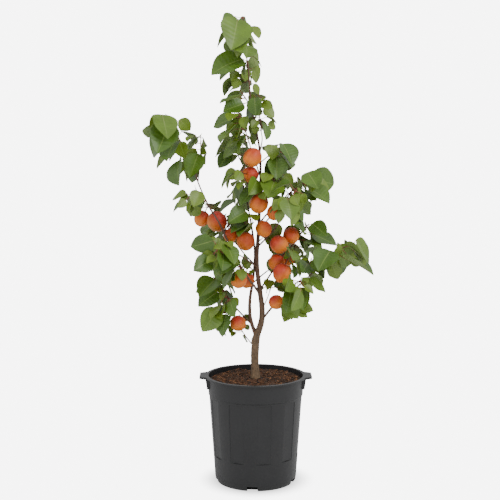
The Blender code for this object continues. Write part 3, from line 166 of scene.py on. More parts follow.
# %% Masses
MASSES = {
    "mass_top": ("trunk", None, [(-2.4, 0.2, 102.5), (-3, 0, 110)],
        12, 9.0, 1, ((-12, 1.5), (-8, 8), (95, 112.5)), 1048),
    "mass_upper_left": ("trunk", 89, [(-2, -0.6, 90.8), (-3.2, -1, 92.6)],
        5, 6.6, 1, ((-9.5, -2.5), (-8, 6), (88, 97)), 727),
    "mass_upper_right": ("trunk", 88, [(0.2, 0.4, 89.8), (1.3, 0.5, 91.5)],
        4, 6.2, 1, ((-2.5, 4.5), (-7, 7), (86.5, 94.5)), 1468),
    "mass_high_left": ("shoot_high_left", None, [(-2.6, -1.4, 84.5), (-4, -1.7, 88)],
        9, 7.0, 1, ((-10, -1.5), (-9, 6), (77, 93.5)), 1273),
    "mass_high_right": ("shoot_high_right", None, [(1.2, 0.9, 85.5), (0.6, 1, 88.5)],
        5, 5.6, 1, ((-2, 6), (-6, 8), (79.5, 89)), 1733),
    "mass_leader_right": ("trunk", 76.5, [(3.2, 0.2, 78.2), (5.6, 0.4, 79.8)],
        7, 7.8, 1, ((0, 12), (-7, 8), (70.5, 82.5)), 1961),
    "mass_leader_side": ("trunk", 71, [(3, -1, 73), (5.2, -1.8, 74.2)],
        7, 7.6, 2, ((0.5, 10.5), (-10, 5), (68, 79.5)), 650),
    "mass_leader_front": ("trunk", 69, [(1.6, -1.8, 70.6), (2.2, -3.6, 71.2)],
        5, 5.6, 2, ((-4.5, 3.5), (-9, 3), (65, 73.5)), 1530),
    "mass_leader_left": ("trunk", 70, [(-0.6, -1.6, 70.8), (-2.2, -3.6, 72), (-3.2, -4.4, 74.6)],
        7, 6.6, 1, ((-10.5, -1.5), (-10, 4), (70, 81)), 706),
    "mass_right_high_tip": ("bough_right_high", None, [(10, -0.2, 70.8), (12.6, -0.6, 73)],
        7, 9.2, 1, ((9.5, 19.5), (-8, 8), (66.5, 75.5)), 1481),
    "mass_right_high_side": ("bough_right_high", 65.5, [(5.6, -0.9, 66.6), (7.6, -2.4, 66.8)],
        7, 7.6, 2, ((3, 13.5), (-10, 4), (60, 70.5)), 881),
    "mass_right_tip": ("bough_right", None, [(10.5, 4.4, 58.7), (12.6, 4.8, 61.4)],
        9, 7.2, 1, ((6.5, 20.5), (-4, 12), (52, 64.5)), 1957),
    "mass_right_side": ("bough_right", 53.4, [(6.6, 1.6, 55.3), (7.4, -1.4, 55.2), (7.6, -3.6, 54.4)],
        6, 6.0, 1, ((0, 11), (-10, 6), (48.5, 64.5)), 644),
    "mass_right_low_tip": ("bough_right_low", None, [(18.6, -4.4, 56), (22.6, -4.8, 57.6)],
        9, 9.2, 1, ((13, 27.5), (-12, 4), (49, 59)), 240),
    "mass_right_low_side": ("bough_right_low", 50.6, [(12.6, -2.4, 52), (13.4, -2, 53.6)],
        6, 6.8, 2, ((8.5, 18), (-8, 6), (44, 55)), 603),
    "mass_right_low_under": ("bough_right_low", 43.9, [(7.2, -2.6, 43.9), (9.2, -3.6, 44.4)],
        6, 8.0, 2, ((1.5, 13.5), (-10, 4), (38.5, 49)), 422),
    "mass_right_inner": ("trunk", 41.5, [(2.9, 0.8, 44.4), (4, 1.4, 48)],
        6, 7.6, 1, ((0, 10), (-4, 8), (44.5, 56.5)), 611),
    "mass_left_low_tip": ("bough_left_low", None, [(-8.4, 2, 46.8), (-10, 2.2, 48.8)],
        6, 7.6, 1, ((-15, -4.5), (-5, 9), (40.5, 52)), 391),
    "mass_left_low_side": ("bough_left_low", 43.2, [(-6.4, 0.2, 44.2), (-7.6, -0.8, 44.6)],
        5, 6.2, 2, ((-13, -1), (-8, 5), (39.5, 48)), 691),
    "mass_left_low_under": ("bough_left_low", 41.2, [(-6.2, 0.9, 40.8), (-8.2, 0.8, 40.4)],
        6, 7.4, 2, ((-14, -5.5), (-6, 8), (33.5, 44)), 384),
    "mass_foot_twig": ("trunk", 32.2, [(-2.3, 0.3, 34.8), (-3.9, 1.9, 37), (-5.2, 2.6, 39.8)],
        3, 4.4, 1, ((-8.5, -1), (-6, 8), (32, 47)), 508),
    "mass_left_inner": ("bough_left", 65.3, [(-10.8, -1.6, 66), (-11.4, 0.6, 66.1), (-11.6, 2, 65.7)],
        5, 6.4, 1, ((-19, -6), (-6, 9), (57, 69)), 604),
    "mass_left_back": ("bough_left", 60, [(-6.9, -1.4, 61.3), (-6.4, 1.4, 62.3), (-6.6, 3.4, 63)],
        4, 6.0, 1, ((-16, -2.5), (-3, 10), (52.5, 67.5)), 1323),
    "mass_left_under": ("bough_left", 50.8, [(-3.9, -3.9, 52.3), (-5.6, -4.6, 52.8)],
        7, 8.0, 2, ((-13.5, -2), (-12, 2), (47.5, 59.5)), 1551),
    "mass_left_spur": ("stem_left", 50.4, [(-1.5, 1.2, 51.6), (-2.6, 0.5, 52)],
        3, 4.4, 1, ((-4, 1.5), (-3, 6), (49, 57)), 923),
    "mass_left_hang": ("bough_left", 57.5, [(-7.6, -4, 57.6), (-9.4, -4.8, 57.6)],
        7, 6.6, 2, ((-17.5, -7.5), (-12, 3), (51, 62)), 109),
    "mass_left_side": ("bough_left", 67.5, [(-13, -4.6, 68.2), (-14.8, -5.2, 69.4)],
        7, 6.2, 2, ((-20, -10), (-12, 3), (61, 71.5)), 1719),
    "mass_left_mid": ("bough_left", 72, [(-13, -2.6, 76.6), (-12.8, -2.2, 82.4)],
        5, 8.0, 1, ((-18.5, -11), (-8, 8), (72, 84.5)), 306),
    "mass_left_tip": ("bough_left", None, [(-16.6, -4, 80), (-20.6, -4.4, 87.4)],
        11, 8.8, 1, ((-28.5, -13), (-12, 5), (68, 88)), 1476),
    "mass_centre_left": ("trunk", 63, [(-0.6, -1.5, 63.9), (-2.6, -2.6, 63.6)],
        6, 7.0, 1, ((-7, 1.5), (-10, 4), (57, 70)), 1009),
    "mass_centre_right": ("trunk", 57.6, [(2.6, 0.6, 59.4), (4.4, 1.2, 60.4)],
        5, 6.4, 1, ((0.5, 10.5), (-6, 8), (53, 66.5)), 1829),
    "mass_front": ("bough_front", None, [(8, -8.6, 68.2), (8.8, -10.2, 70.4)],
        7, 6.4, 1, ((1.5, 11.5), (-18, -2), (62, 79.5)), 1650),
    "mass_front_left": ("bough_front_left", None, [(-7.2, -10, 57), (-8.8, -11.4, 57.2)],
        7, 6.4, 1, ((-17, -3.5), (-18, -4), (48.5, 62)), 481),
    "mass_front_low": ("bough_right_low", 46.6, [(9.2, -6, 48.6), (10.2, -9, 49.6)],
        6, 6.2, 1, ((1.5, 17), (-17, -3), (40.5, 56.5)), 928),
    "mass_back": ("stem_left", None, [(-3, 10.5, 70.5), (-3.6, 12.4, 73)],
        8, 7.0, 1, ((-11, 1.5), (3, 20), (63.5, 83)), 254),
    "mass_back_left": ("bough_back_left", None, [(-4.6, 9.4, 81), (-4.8, 10.8, 83.6)],
        7, 6.8, 1, ((-10.5, 1.5), (2, 18), (72, 94.5)), 1389),
    "mass_back_right": ("bough_back_right", None, [(9, 10, 69.6), (10.2, 12, 71.6)],
        8, 7.0, 1, ((1.5, 14), (3, 20), (63.5, 82.5)), 1004),
    "mass_back_low": ("bough_back_low", None, [(8.4, 11, 53), (10.6, 13, 54.6)],
        7, 7.0, 1, ((1.5, 20), (4, 20), (42, 60.5)), 992),
    "mass_back_mid": ("bough_back", None, [(-7.6, 11, 59.8), (-9, 13, 61.4)],
        8, 7.0, 1, ((-19.5, -1.5), (4, 20), (44.5, 69.5)), 506),
    "mass_back_high": ("trunk", 93.5, [(-1.8, 1.8, 96), (-3, 2.8, 98.4)],
        6, 7.6, 1, ((-11.5, 1.5), (0, 12), (91, 105)), 946),
}
print("masses of foliage:", len(MASSES))

# %% [markdown]
# The apricots: centre and diameter in cm, and the mass whose twig bears each.

# %% Apricots and their twigs
FRUITS = [
    ((-0.8, -3.4, 77.7), 4.6, "mass_leader_left"),
    ((-1.3, -1.5, 73.7), 4.0, "mass_leader_left"),
    ((0.7, -3.2, 67.1), 4.8, "mass_leader_front"),
    ((4.4, -2.3, 64.9), 3.9, "mass_right_high_side"),
    ((1.8, -3.3, 61.1), 4.0, "mass_centre_left"),
    ((-2.4, -2, 58.1), 4.5, "mass_centre_left"),
    ((8.4, 0.9, 59.1), 4.2, "mass_right_side"),
    ((5.5, -1.8, 57.3), 4.5, "mass_right_side"),
    ((6.1, -4.6, 50.9), 4.6, "mass_right_side"),
    ((4.9, -0.9, 53), 4.0, "mass_right_side"),
    ((7.8, 1.5, 53.6), 3.4, "mass_right_side"),
    ((4.8, -3.8, 43.9), 3.7, "mass_right_low_under"),
    ((-4, -4.7, 49.4), 4.2, "mass_left_under"),
    ((-2.2, 0.15, 48.6), 3.9, "mass_left_spur"),
    ((-4.2, -0.7, 38.3), 4.0, "mass_foot_twig"),
    ((-12.9, 2.6, 63.1), 4.0, "mass_left_inner"),
    ((-9.2, 0.1, 62.6), 5.0, "mass_left_inner"),
    ((-6, -0.3, 59.3), 3.5, "mass_left_back"),
]

print("apricots:", len(FRUITS))

# %% [markdown]
# ## The growth rule
#
# Leaves stand round a stem by the golden angle, and each tries again until it is free. These are its
# sizes: how a stalk leaves its stem, how a blade is shaped, and what it keeps clear of.

# %% Growth sizes
GOLDEN_TURN = math.radians(137.5)
TRIES = 30
TURN_SPREAD = 1.4
SWING_SPREAD = 1.6
SMALLEST_LEAF = 0.68
SHORT_STALK = 2.0 * CM
LONG_STALK = 3.6 * CM
FULL_LEAF = 8 * CM
STALK_LEAN = 0.5
STALK_FALL = 0.6
BEFORE_KNEE = 0.55
AFTER_KNEE = 0.45
LEAST_DROOP = math.radians(12)
MOST_DROOP = math.radians(78)
TWIST = math.radians(50)
LIGHT = np.array([0.0, -0.7, 0.6])
OUTWARD_PULL = 0.5
STEM_TIP_RADIUS = 0.8 * MM
SIDE_STEM_RADIUS = 1.5 * MM
STRAIGHT_START = 6 * MM
FIRST_NODE = 0.10
FIRST_SIDE_NODE = 0.45

# A blade: widest at 0.38 of its length, with a drawn-out tip, folded up at its midrib and arched down.
WIDEST = 0.38
STATIONS = np.array([0.0, 0.17, 0.42, 0.72, 1.0])
SHORTENING = 0.10
SAG = 0.3

# Least value and spread of a blade's width as a share of its length, of its fold and of its arch.
WIDTHS = (0.76, 0.12)
FOLDS = (0.10, 0.3)
ARCHES = (0.2, 0.6)

# Clearances that a new leaf keeps.
LEAF_CLEARANCE = 1.6 * MM
STALK_CLEARANCE = 2.0 * MM
STALK_SPACING = 4.0 * MM
LIMB_CLEARANCE = 1.5 * MM
FRUIT_CLEARANCE = 1.5 * MM
EDGE_CLEARANCE = 1.2 * MM
PIN_CLEARANCE = 1.6 * MM

# Margins beyond which a clearance test is left out, and a blade's reach from its middle.
POINT_MARGIN = 0.004
BLADE_MARGIN = 0.010
PIN_MARGIN = 0.012
SPUR_MARGIN = 0.12
REACH_SHARE = 0.62
print("tries for each leaf:", TRIES)

# %% [markdown]
# Routes are smooth curves through a few points. Limbs and stems taper along them.

# %% Routes

def unit(v):
    """The vector divided by its length."""
    return v / max(1e-9, math.sqrt(float(v[0] * v[0] + v[1] * v[1] + v[2] * v[2])))


def cross(a, b):
    """The cross product of two single vectors."""
    return np.array([
        a[1] * b[2] - a[2] * b[1],
        a[2] * b[0] - a[0] * b[2],
        a[0] * b[1] - a[1] * b[0],
    ])


def smooth_route(points, per_span, before=None):
    """A Catmull-Rom curve through the points, with per_span steps from each to the next."""
    p = np.array(points, float)
    ends = np.vstack([2 * p[0] - p[1] if before is None else before, p, 2 * p[-1] - p[-2]])
    t = (np.arange(per_span) / per_span)[:, None]
    spans = []
    for i in range(len(p) - 1):
        a, b, c, d = ends[i:i + 4]
        square, cube = 2 * a - 5 * b + 4 * c - d, 3 * b - a - 3 * c + d
        spans.append(0.5 * (2 * b + (c - a) * t + square * t**2 + cube * t**3))
    return np.vstack(spans + [p[-1:]])


def lengths_along(route):
    """The length from the route's start to each of its points."""
    return np.concatenate([[0], np.cumsum(np.linalg.norm(np.diff(route, axis=0), axis=1))])


def point_at(route, share):
    """The point at this share of the route's length."""
    along = lengths_along(route)
    return np.array([np.interp(share * along[-1], along, route[:, k]) for k in range(3)])


def direction_at(route, share):
    """The route's direction there, from a little before to a little after."""
    return unit(point_at(route, min(1, share + 0.03)) - point_at(route, max(0, share - 0.03)))


def limb_shape(name):
    """The limb's route and its radius at each point of it, tapering from foot to tip."""
    points, (foot, tip) = LIMBS[name]
    route = smooth_route(np.array(points, float) * CM, 3)
    along = lengths_along(route)
    left = 1 - along / along[-1]
    if name != "trunk":
        return route, (tip + (foot - tip) * left**LIMB_TAPER) * MM
    height = route[:, 2] / CM
    flare = FLARE * np.exp(-(height - TRUNK_FOOT) / FLARE_FADE)
    swell = FORK_SWELL * np.exp(-(((height - FORK_HEIGHT) / FORK_SPREAD) ** 2))
    taper = (foot - FLARE_ALLOWANCE - tip) * left**TRUNK_TAPER
    return route, (tip + taper + flare + swell) * MM


def stem_shape(name, limbs):
    """The mass's own stem, from its limb's axis, or from a gap beyond the limb's tip and in line with it."""
    carrier, height, points = MASSES[name][:3]
    route, radii = limbs[carrier]
    rest = np.array(points, float) * CM
    if height is None:
        onward = unit(route[-1] - route[-2])
        lead = route[-1] + STRAIGHT_START * onward
        before = rest[0] - 2 * onward * float(np.linalg.norm(rest[0] - lead))
        path = np.vstack([route[-1] + GAP * onward, smooth_route(np.vstack([lead, rest]), 2, before)])
        foot = radii[-1]
    else:
        start = np.array([np.interp(height * CM, route[:, 2], route[:, k]) for k in range(3)])
        path = smooth_route(np.vstack([start, rest]), 2)
        foot = min(SIDE_STEM_RADIUS, 0.75 * float(np.interp(height * CM, route[:, 2], radii)))
    return path, np.linspace(foot, STEM_TIP_RADIUS, len(path))


def fruit_spurs(stems):
    """The stalk of each fruit, from the best placed point of its mass's stem to the fruit's centre."""
    spurs = []
    for centre, _, owner in FRUITS:
        heart = np.array(centre) * CM
        path = stems[owner][0]
        points = np.array([point_at(path, share) for share in np.linspace(0.25, 1, 13)])
        cost = np.linalg.norm(points - heart, axis=1) - 0.5 * (points[:, 2] - heart[2])
        spurs.append((points[cost.argmin()], heart))
    return spurs


print("trunk length:", round(float(lengths_along(limb_shape("trunk")[0])[-1]), 3))

# %% [markdown]
# ### The shape of a leaf
#
# A blade is a surface over two shares: u along its midrib and v across it. Its outline gives the half
# width at u, the fold lifts both halves, and the arch lowers and shortens it towards the tip.

# %% Leaf shape
def leaf_width(u):
    """Half the blade's width at share u of its length, as a share of its widest half."""
    foot = (1 - (1 - np.clip(u / WIDEST, 0, 1)) ** 2) ** 0.55
    tip = np.clip(np.cos(np.pi / 2 * np.clip((u - WIDEST) / (1 - WIDEST), 0, 1)), 0, 1) ** 1.25
    return np.where(u < WIDEST, foot, tip)


def arched(leaf, u):
    """How far along its axis, and how far below it, the midrib lies at share u of the blade."""
    along = leaf["length"] * (u - SHORTENING * leaf["arch"] * u**3)
    return along, leaf["arch"] * leaf["length"] * u**2 * SAG


def blade_points(leaf, u, v):
    """Points of the blade at shares u of its length and v of its half width, from -1 to 1."""
    u, v = np.broadcast_arrays(np.asarray(u, float), np.asarray(v, float))
    half = leaf["width"] / 2 * leaf_width(u)
    along, drop = arched(leaf, u)
    lift = np.abs(v) * half * leaf["fold"] - drop
    return (
        leaf["base"]
        + along[..., None] * leaf["axis"]
        + (v * half)[..., None] * leaf["side"]
        + lift[..., None] * leaf["normal"]
    )


def shape_leaf(draw, turn, here, along, longest):
    """One leaf on the stem at the point here, from eight draws between 0 and 1."""
    first = unit(cross(along, UP if abs(along[2]) < 0.9 else np.array([1.0, 0, 0])))
    second = cross(along, first)
    angle = turn + (draw[0] - 0.5) * TURN_SPREAD
    away = unit(STALK_LEAN * along + math.cos(angle) * first + math.sin(angle) * second)
    size = longest * (SMALLEST_LEAF + (1 - SMALLEST_LEAF) * draw[4])
    stalk = (SHORT_STALK + (LONG_STALK - SHORT_STALK) * draw[1]) * (0.5 + 0.5 * size / FULL_LEAF)
    knee = here + away * stalk * BEFORE_KNEE
    ending = unit(away - STALK_FALL * UP)
    base = knee + ending * stalk * AFTER_KNEE
    droop = LEAST_DROOP + (MOST_DROOP - LEAST_DROOP) * draw[2]
    swing = (draw[6] - 0.5) * SWING_SPREAD
    level = np.array([
        ending[0] * math.cos(swing) - ending[1] * math.sin(swing),
        ending[0] * math.sin(swing) + ending[1] * math.cos(swing),
        0.0,
    ])
    axis = math.cos(droop) * unit(level + 1e-9) - math.sin(droop) * UP
    facing = LIGHT + OUTWARD_PULL * unit(np.array([here[0], here[1], 0.02]))
    top = unit(facing - axis * float(facing @ axis))
    side = cross(axis, top)
    twist = (draw[3] * 2 - 1) * TWIST
    normal = math.cos(twist) * top + math.sin(twist) * side
    width, fold, arch = (least + spread * draw[k] for (least, spread), k in (
        (WIDTHS, 5), (FOLDS, 7), (ARCHES, 5)))
    return dict(
        stalk=np.array([here, (here + base) / 2, base]), along=along, base=base,
        axis=axis, normal=normal, side=cross(axis, normal),
        length=size, width=size * width, fold=fold, arch=arch,
    )

# %% [markdown]
# ### What a leaf keeps clear of
#
# A new leaf is tested as triangles, a grid of points, edges and points along its stalk, against the
# limbs, the fruit and every leaf so far.

# %% Clearance
RING_U = np.array([0, .1, .25, .42, .6, .8, 1, .8, .6, .42, .25, .1])
RING_V = np.array([0, -1, -1, -1, -1, -1, 0, 1, 1, 1, 1, 1])
BOX_U = np.array([0, .2, .42, .68, 1, .68, .42, .2])
BOX_V = np.array([0, -1, -1, -1, 0, 1, 1, 1])
GRID_U, GRID_V = (
    g.ravel() for g in np.meshgrid(np.linspace(0.03, 0.97, 9), np.linspace(-1, 1, 7), indexing="ij"))


def blade_triangles(leaf):
    """The blade's middle surface as triangles, for the clearance tests."""
    middle = blade_points(leaf, STATIONS, 0.0)
    found = []
    for side in (-1.0, 1.0):
        edge = np.vstack([middle[:1], blade_points(leaf, STATIONS[1:-1], side), middle[-1:]])
        for i in range(4):
            if i > 0:
                found.append((middle[i], edge[i], edge[i + 1]))
            if i < 3:
                found.append((middle[i], edge[i + 1], middle[i + 1]))
    return np.array(found)


def segment_distance(p, a, b):
    """The distance of points to the segments from a to b."""
    d = b - a
    t = ((p - a) * d).sum(-1) / np.maximum((d * d).sum(-1), 1e-16)
    return np.linalg.norm(p - a - np.clip(t, 0, 1)[..., None] * d, axis=-1)


def triangle_distance(points, triangles):
    """The distance of each point to each triangle."""
    p = points[:, None]
    a, b, c = triangles[None, :, 0], triangles[None, :, 1], triangles[None, :, 2]
    n = np.cross(b - a, c - a)
    n = n / np.maximum(np.linalg.norm(n, axis=-1, keepdims=True), 1e-12)
    height = ((p - a) * n).sum(-1)
    foot = p - height[..., None] * n
    inside = (
        ((np.cross(b - a, foot - a) * n).sum(-1) >= 0)
        & ((np.cross(c - b, foot - b) * n).sum(-1) >= 0)
        & ((np.cross(a - c, foot - c) * n).sum(-1) >= 0)
    )
    edge = np.minimum(segment_distance(p, a, b), segment_distance(p, b, c))
    return np.where(inside, np.abs(height), np.minimum(edge, segment_distance(p, c, a)))


def pierces(a, b, triangles):
    """True if one of the segments a-b goes through one of the triangles."""
    d = (b - a)[:, None]
    e1 = (triangles[:, 1] - triangles[:, 0])[None]
    e2 = (triangles[:, 2] - triangles[:, 0])[None]
    h = np.cross(d, e2)
    det = (h * e1).sum(-1)
    ok = np.abs(det) > 1e-16
    inv = 1 / np.where(ok, det, 1)
    s = a[:, None] - triangles[None, :, 0]
    u = (s * h).sum(-1) * inv
    q = np.cross(s, e1)
    v = (d * q).sum(-1) * inv
    t = (e2 * q).sum(-1) * inv
    return bool((ok & (u >= 0) & (v >= 0) & (u + v <= 1) & (t >= 0) & (t <= 1)).any())


def measure_leaf(leaf):
    """Adds what the clearance tests read: triangles, a grid of points, edges and points along the stalk."""
    root, knee, base = leaf["stalk"]
    leaf["triangles"] = blade_triangles(leaf)
    leaf["grid"] = blade_points(leaf, GRID_U, GRID_V)
    leaf["middle"] = blade_points(leaf, [0.5], [0.0])[0]
    leaf["reach"] = leaf["length"] * REACH_SHARE
    lower = [root + (knee - root) * t for t in (0.25, 0.5, 0.75, 1.0)]
    leaf["pins"] = np.vstack(lower + [knee + (base - knee) * t for t in (0.5, 1.0)])
    ring = blade_points(leaf, RING_U, RING_V)
    midrib = blade_points(leaf, STATIONS, 0.0)
    leaf["edge_from"] = np.vstack([ring, midrib[:-1], root + 0.15 * (knee - root), knee])
    leaf["edge_to"] = np.vstack([np.roll(ring, -1, 0), midrib[1:], knee, base])


class Clearance:
    """What stands already: limbs and stems as round segments, fruit as balls, and the leaves so far."""

    def __init__(self, limbs, stems):
        rows = [
            (route[i], route[i + 1], max(radii[i], radii[i + 1]), name)
            for group in (limbs, stems)
            for name, (route, radii) in group.items()
            for i in range(len(route) - 1)
        ]
        self.start = np.array([row[0] for row in rows])
        self.end = np.array([row[1] for row in rows])
        self.radius = np.array([row[2] for row in rows])
        self.owner = np.array([row[3] for row in rows])
        self.fruit = np.array([centre for centre, _, _ in FRUITS]) * CM
        self.fruit_radius = np.array([diameter / 2 for _, diameter, _ in FRUITS]) * CM
        self.spurs = fruit_spurs(stems)
        self.leaves = []

    def clear_of_limbs(self, leaf):
        """True if blade and stalk keep off every limb and stem."""
        middle, reach = leaf["middle"], leaf["reach"] + POINT_MARGIN
        away = segment_distance(middle[None, None], self.start[None], self.end[None])[0]
        near = away < reach + self.radius + BLADE_MARGIN
        if near.any():
            a, b, r = self.start[near], self.end[near], self.radius[near]
            if pierces(a, b, leaf["triangles"]):
                return False
            if (segment_distance(leaf["grid"][:, None], a[None], b[None]) < r + LIMB_CLEARANCE).any():
                return False
            points = np.vstack([a + (b - a) * t for t in (0.0, 0.33, 0.67)])
            thick = np.concatenate([r, r, r])
            close = np.linalg.norm(points - middle, axis=1) < reach + POINT_MARGIN
            if close.any():
                away = triangle_distance(points[close], leaf["triangles"]).min(1)
                if (away < thick[close] + EDGE_CLEARANCE).any():
                    return False
        pins = leaf["pins"]
        low, high = pins.min(0) - PIN_MARGIN, pins.max(0) + PIN_MARGIN
        near = (np.minimum(self.start, self.end) < high).all(1) & (self.owner != leaf["owner"])
        near &= (np.maximum(self.start, self.end) > low).all(1)
        if near.any():
            away = segment_distance(pins[:, None], self.start[near][None], self.end[near][None])
            if (away < self.radius[near] + PIN_CLEARANCE).any():
                return False
        return True

    def clear_of_fruit(self, leaf):
        """True if blade and stalk keep off the apricots and their stalks."""
        points = np.vstack([leaf["grid"], leaf["pins"]])
        away = np.linalg.norm(points[:, None] - self.fruit[None], axis=-1)
        if (away < self.fruit_radius + FRUIT_CLEARANCE).any():
            return False
        near = np.linalg.norm(self.fruit - leaf["middle"], axis=1) < leaf["reach"] + self.fruit_radius
        if near.any():
            away = triangle_distance(self.fruit[near], leaf["triangles"]).min(1)
            if (away < self.fruit_radius[near] + EDGE_CLEARANCE).any():
                return False
        for start, heart in self.spurs:
            if np.linalg.norm((start + heart) / 2 - leaf["middle"]) < SPUR_MARGIN:
                points = start + (heart - start) * np.linspace(0, 1, 14)[:, None]
                if triangle_distance(points, leaf["triangles"]).min() < STALK_CLEARANCE:
                    return False
        return True

    def clear_of_leaves(self, leaf):
        """True if blade and stalk keep off every leaf so far."""
        for other in self.leaves:
            pairs = ((leaf, other), (other, leaf))
            apart = np.linalg.norm(other["middle"] - leaf["middle"])
            if apart > other["reach"] + leaf["reach"] + BLADE_MARGIN and all(
                (np.linalg.norm(b["pins"] - a["middle"], axis=1) > a["reach"] + POINT_MARGIN).all()
                for a, b in pairs
            ):
                continue
            if other["owner"] != leaf["owner"]:
                if np.linalg.norm(leaf["pins"][:, None] - other["pins"][None], axis=-1).min() < STALK_SPACING:
                    return False
            for a, b in pairs:
                if pierces(a["edge_from"], a["edge_to"], b["triangles"]):
                    return False
                if triangle_distance(a["grid"], b["triangles"]).min() < LEAF_CLEARANCE:
                    return False
                if triangle_distance(a["pins"], b["triangles"]).min() < STALK_CLEARANCE:
                    return False
        return True

    def place(self, leaf):
        """Keeps the leaf if it touches nothing."""
        measure_leaf(leaf)
        free = self.clear_of_fruit(leaf) and self.clear_of_limbs(leaf) and self.clear_of_leaves(leaf)
        if free:
            self.leaves.append(leaf)
        return free


print("points tested on each blade:", len(GRID_U))

# %% [markdown]
# ### Growing the tree
#
# The leaves of each mass stand round their stem by the golden angle. A leaf tries up to thirty shapes
# from seeded draws until one keeps its space and touches nothing.

# %% Growth
def grow_leaf(name, share, turn, longest, rng):
    """The first of the tried leaves at this share of the stem that is free, in a list, which may be empty."""
    path, space = stems[name][0], MASSES[name][6]
    low, high = (np.array([side[k] for side in space]) * CM for k in (0, 1))
    here, along = point_at(path, share), direction_at(path, share)
    for draw in rng.uniform(size=(TRIES, 8)):
        leaf = shape_leaf(draw, turn, here, along, longest)
        leaf["owner"] = name
        ring = blade_points(leaf, BOX_U, BOX_V)
        if ((ring > low) & (ring < high)).all() and clearance.place(leaf):
            return [leaf]
    return []


def grow_mass(name):
    """The leaves of a mass, with its nodes at even steps from the first one to the stem's tip."""
    _, height, _, count, longest, per_node, _, seed = MASSES[name]
    rng = np.random.default_rng(seed)
    phase = rng.uniform(0, 2 * math.pi)
    nodes = math.ceil(count / per_node)
    first = FIRST_NODE if height is None else FIRST_SIDE_NODE
    grown = []
    for i in range(count):
        share = min(1.0, first + (1 - first) * (i // per_node) / max(1, nodes - 1))
        grown += grow_leaf(name, share, phase + i * GOLDEN_TURN, longest * CM, rng)
    return grown


limbs = {name: limb_shape(name) for name in LIMBS}
stems = {name: stem_shape(name, limbs) for name in MASSES}
clearance = Clearance(limbs, stems)
leaves = [leaf for name in MASSES for leaf in grow_mass(name)]
print("leaves:", len(leaves))

# %% [markdown]
# Between the full leaves stand young ones, a little over half the size, by the same rule and the
# same clearances, so the crown closes as it does on a living tree.

# %% Young leaves
YOUNG_SHARES = (0.12, 0.22, 0.32, 0.42, 0.52, 0.62, 0.72, 0.82, 0.91, 0.99)
YOUNG_SIDE_SHARE = 0.4
YOUNG_SIZE = 0.56
YOUNG_SEED = 4100


def grow_young(name, seed):
    """Smaller leaves of a mass at set shares of its stem, but none near the foot of a side stem."""
    _, height, _, _, longest, _, _, _ = MASSES[name]
    rng = np.random.default_rng(seed)
    young = []
    for i, share in enumerate(YOUNG_SHARES):
        if height is None or share >= YOUNG_SIDE_SHARE:
            young += grow_leaf(name, share, i * GOLDEN_TURN, YOUNG_SIZE * longest * CM, rng)
    return young


young_leaves = [leaf for k, name in enumerate(MASSES) for leaf in grow_young(name, YOUNG_SEED + k)]
all_leaves = leaves + young_leaves
print("young leaves:", len(young_leaves))

# %% [markdown]
# ## Meshes from arrays
#
# Every piece is worked out as whole arrays of points and faces. Several surfaces of one kind are
# stacked into one mesh, with a value or a UV for each corner where a material needs one.

# %% Mesh helpers
piece_collection = bpy.data.collections.new("dressed")
bpy.context.scene.collection.children.link(piece_collection)
dice = np.random.default_rng(77)


class Stack:
    """Gathers closed surfaces of one kind, with a value and a UV for points and a material for faces."""

    def __init__(self):
        self.points, self.quads, self.triangles = [], [], []
        self.values, self.flat, self.slots = [], [], []
        self.count = 0

    def add(self, points, quads, triangles=None, value=0.0, flat=None, slot=0):
        """Takes in one surface, with its faces counted on from the points before it."""
        quads = np.asarray(quads, np.int64).reshape(-1, 4)
        triangles = np.asarray([] if triangles is None else triangles, np.int64).reshape(-1, 3)
        self.points.append(points)
        self.quads.append(quads + self.count)
        self.triangles.append(triangles + self.count)
        self.values.append(np.broadcast_to(np.asarray(value, float), (len(points),)))
        self.flat.append(np.zeros((len(points), 2)) if flat is None else flat)
        slot = np.broadcast_to(np.asarray(slot), (len(quads) + len(triangles),))
        self.slots.append((slot[:len(quads)], slot[len(quads):]))
        self.count += len(points)

    def make(self, name, materials, sharp=50):
        """The gathered mesh as an object, smooth but for edges sharper than the angle."""
        points = np.vstack(self.points)
        quads, triangles = np.vstack(self.quads), np.vstack(self.triangles)
        mesh = bpy.data.meshes.new(name)
        mesh.vertices.add(len(points))
        mesh.vertices.foreach_set("co", points.astype(np.float32).ravel())
        corners = np.concatenate([quads.ravel(), triangles.ravel()]).astype(np.int32)
        mesh.loops.add(len(corners))
        mesh.loops.foreach_set("vertex_index", corners)
        starts = [np.arange(len(quads)) * 4, len(quads) * 4 + np.arange(len(triangles)) * 3]
        starts = np.concatenate(starts)
        mesh.polygons.add(len(starts))
        mesh.polygons.foreach_set("loop_start", starts.astype(np.int32))
        slots = np.concatenate([s[0] for s in self.slots] + [s[1] for s in self.slots])
        mesh.polygons.foreach_set("material_index", slots.astype(np.int32))
        mesh.update(calc_edges=True)
        uv = mesh.uv_layers.new(name="UVMap")
        uv.data.foreach_set("uv", np.vstack(self.flat)[corners].astype(np.float32).ravel())
        value = mesh.attributes.new("value", "FLOAT", "POINT")
        value.data.foreach_set("value", np.concatenate(self.values).astype(np.float32))
        for material in materials:
            mesh.materials.append(material)
        mesh.shade_smooth()
        mesh.set_sharp_from_angle(angle=math.radians(sharp))
        item = bpy.data.objects.new(name, mesh)
        piece_collection.objects.link(item)
        print(name, "triangles", 2 * len(quads) + len(triangles), "points", len(points))
        return item


def dress(item, nodes):
    """Puts the piece on the root body and hides the nodes it stands for."""
    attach(item, "root")
    if nodes:
        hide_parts(*nodes)


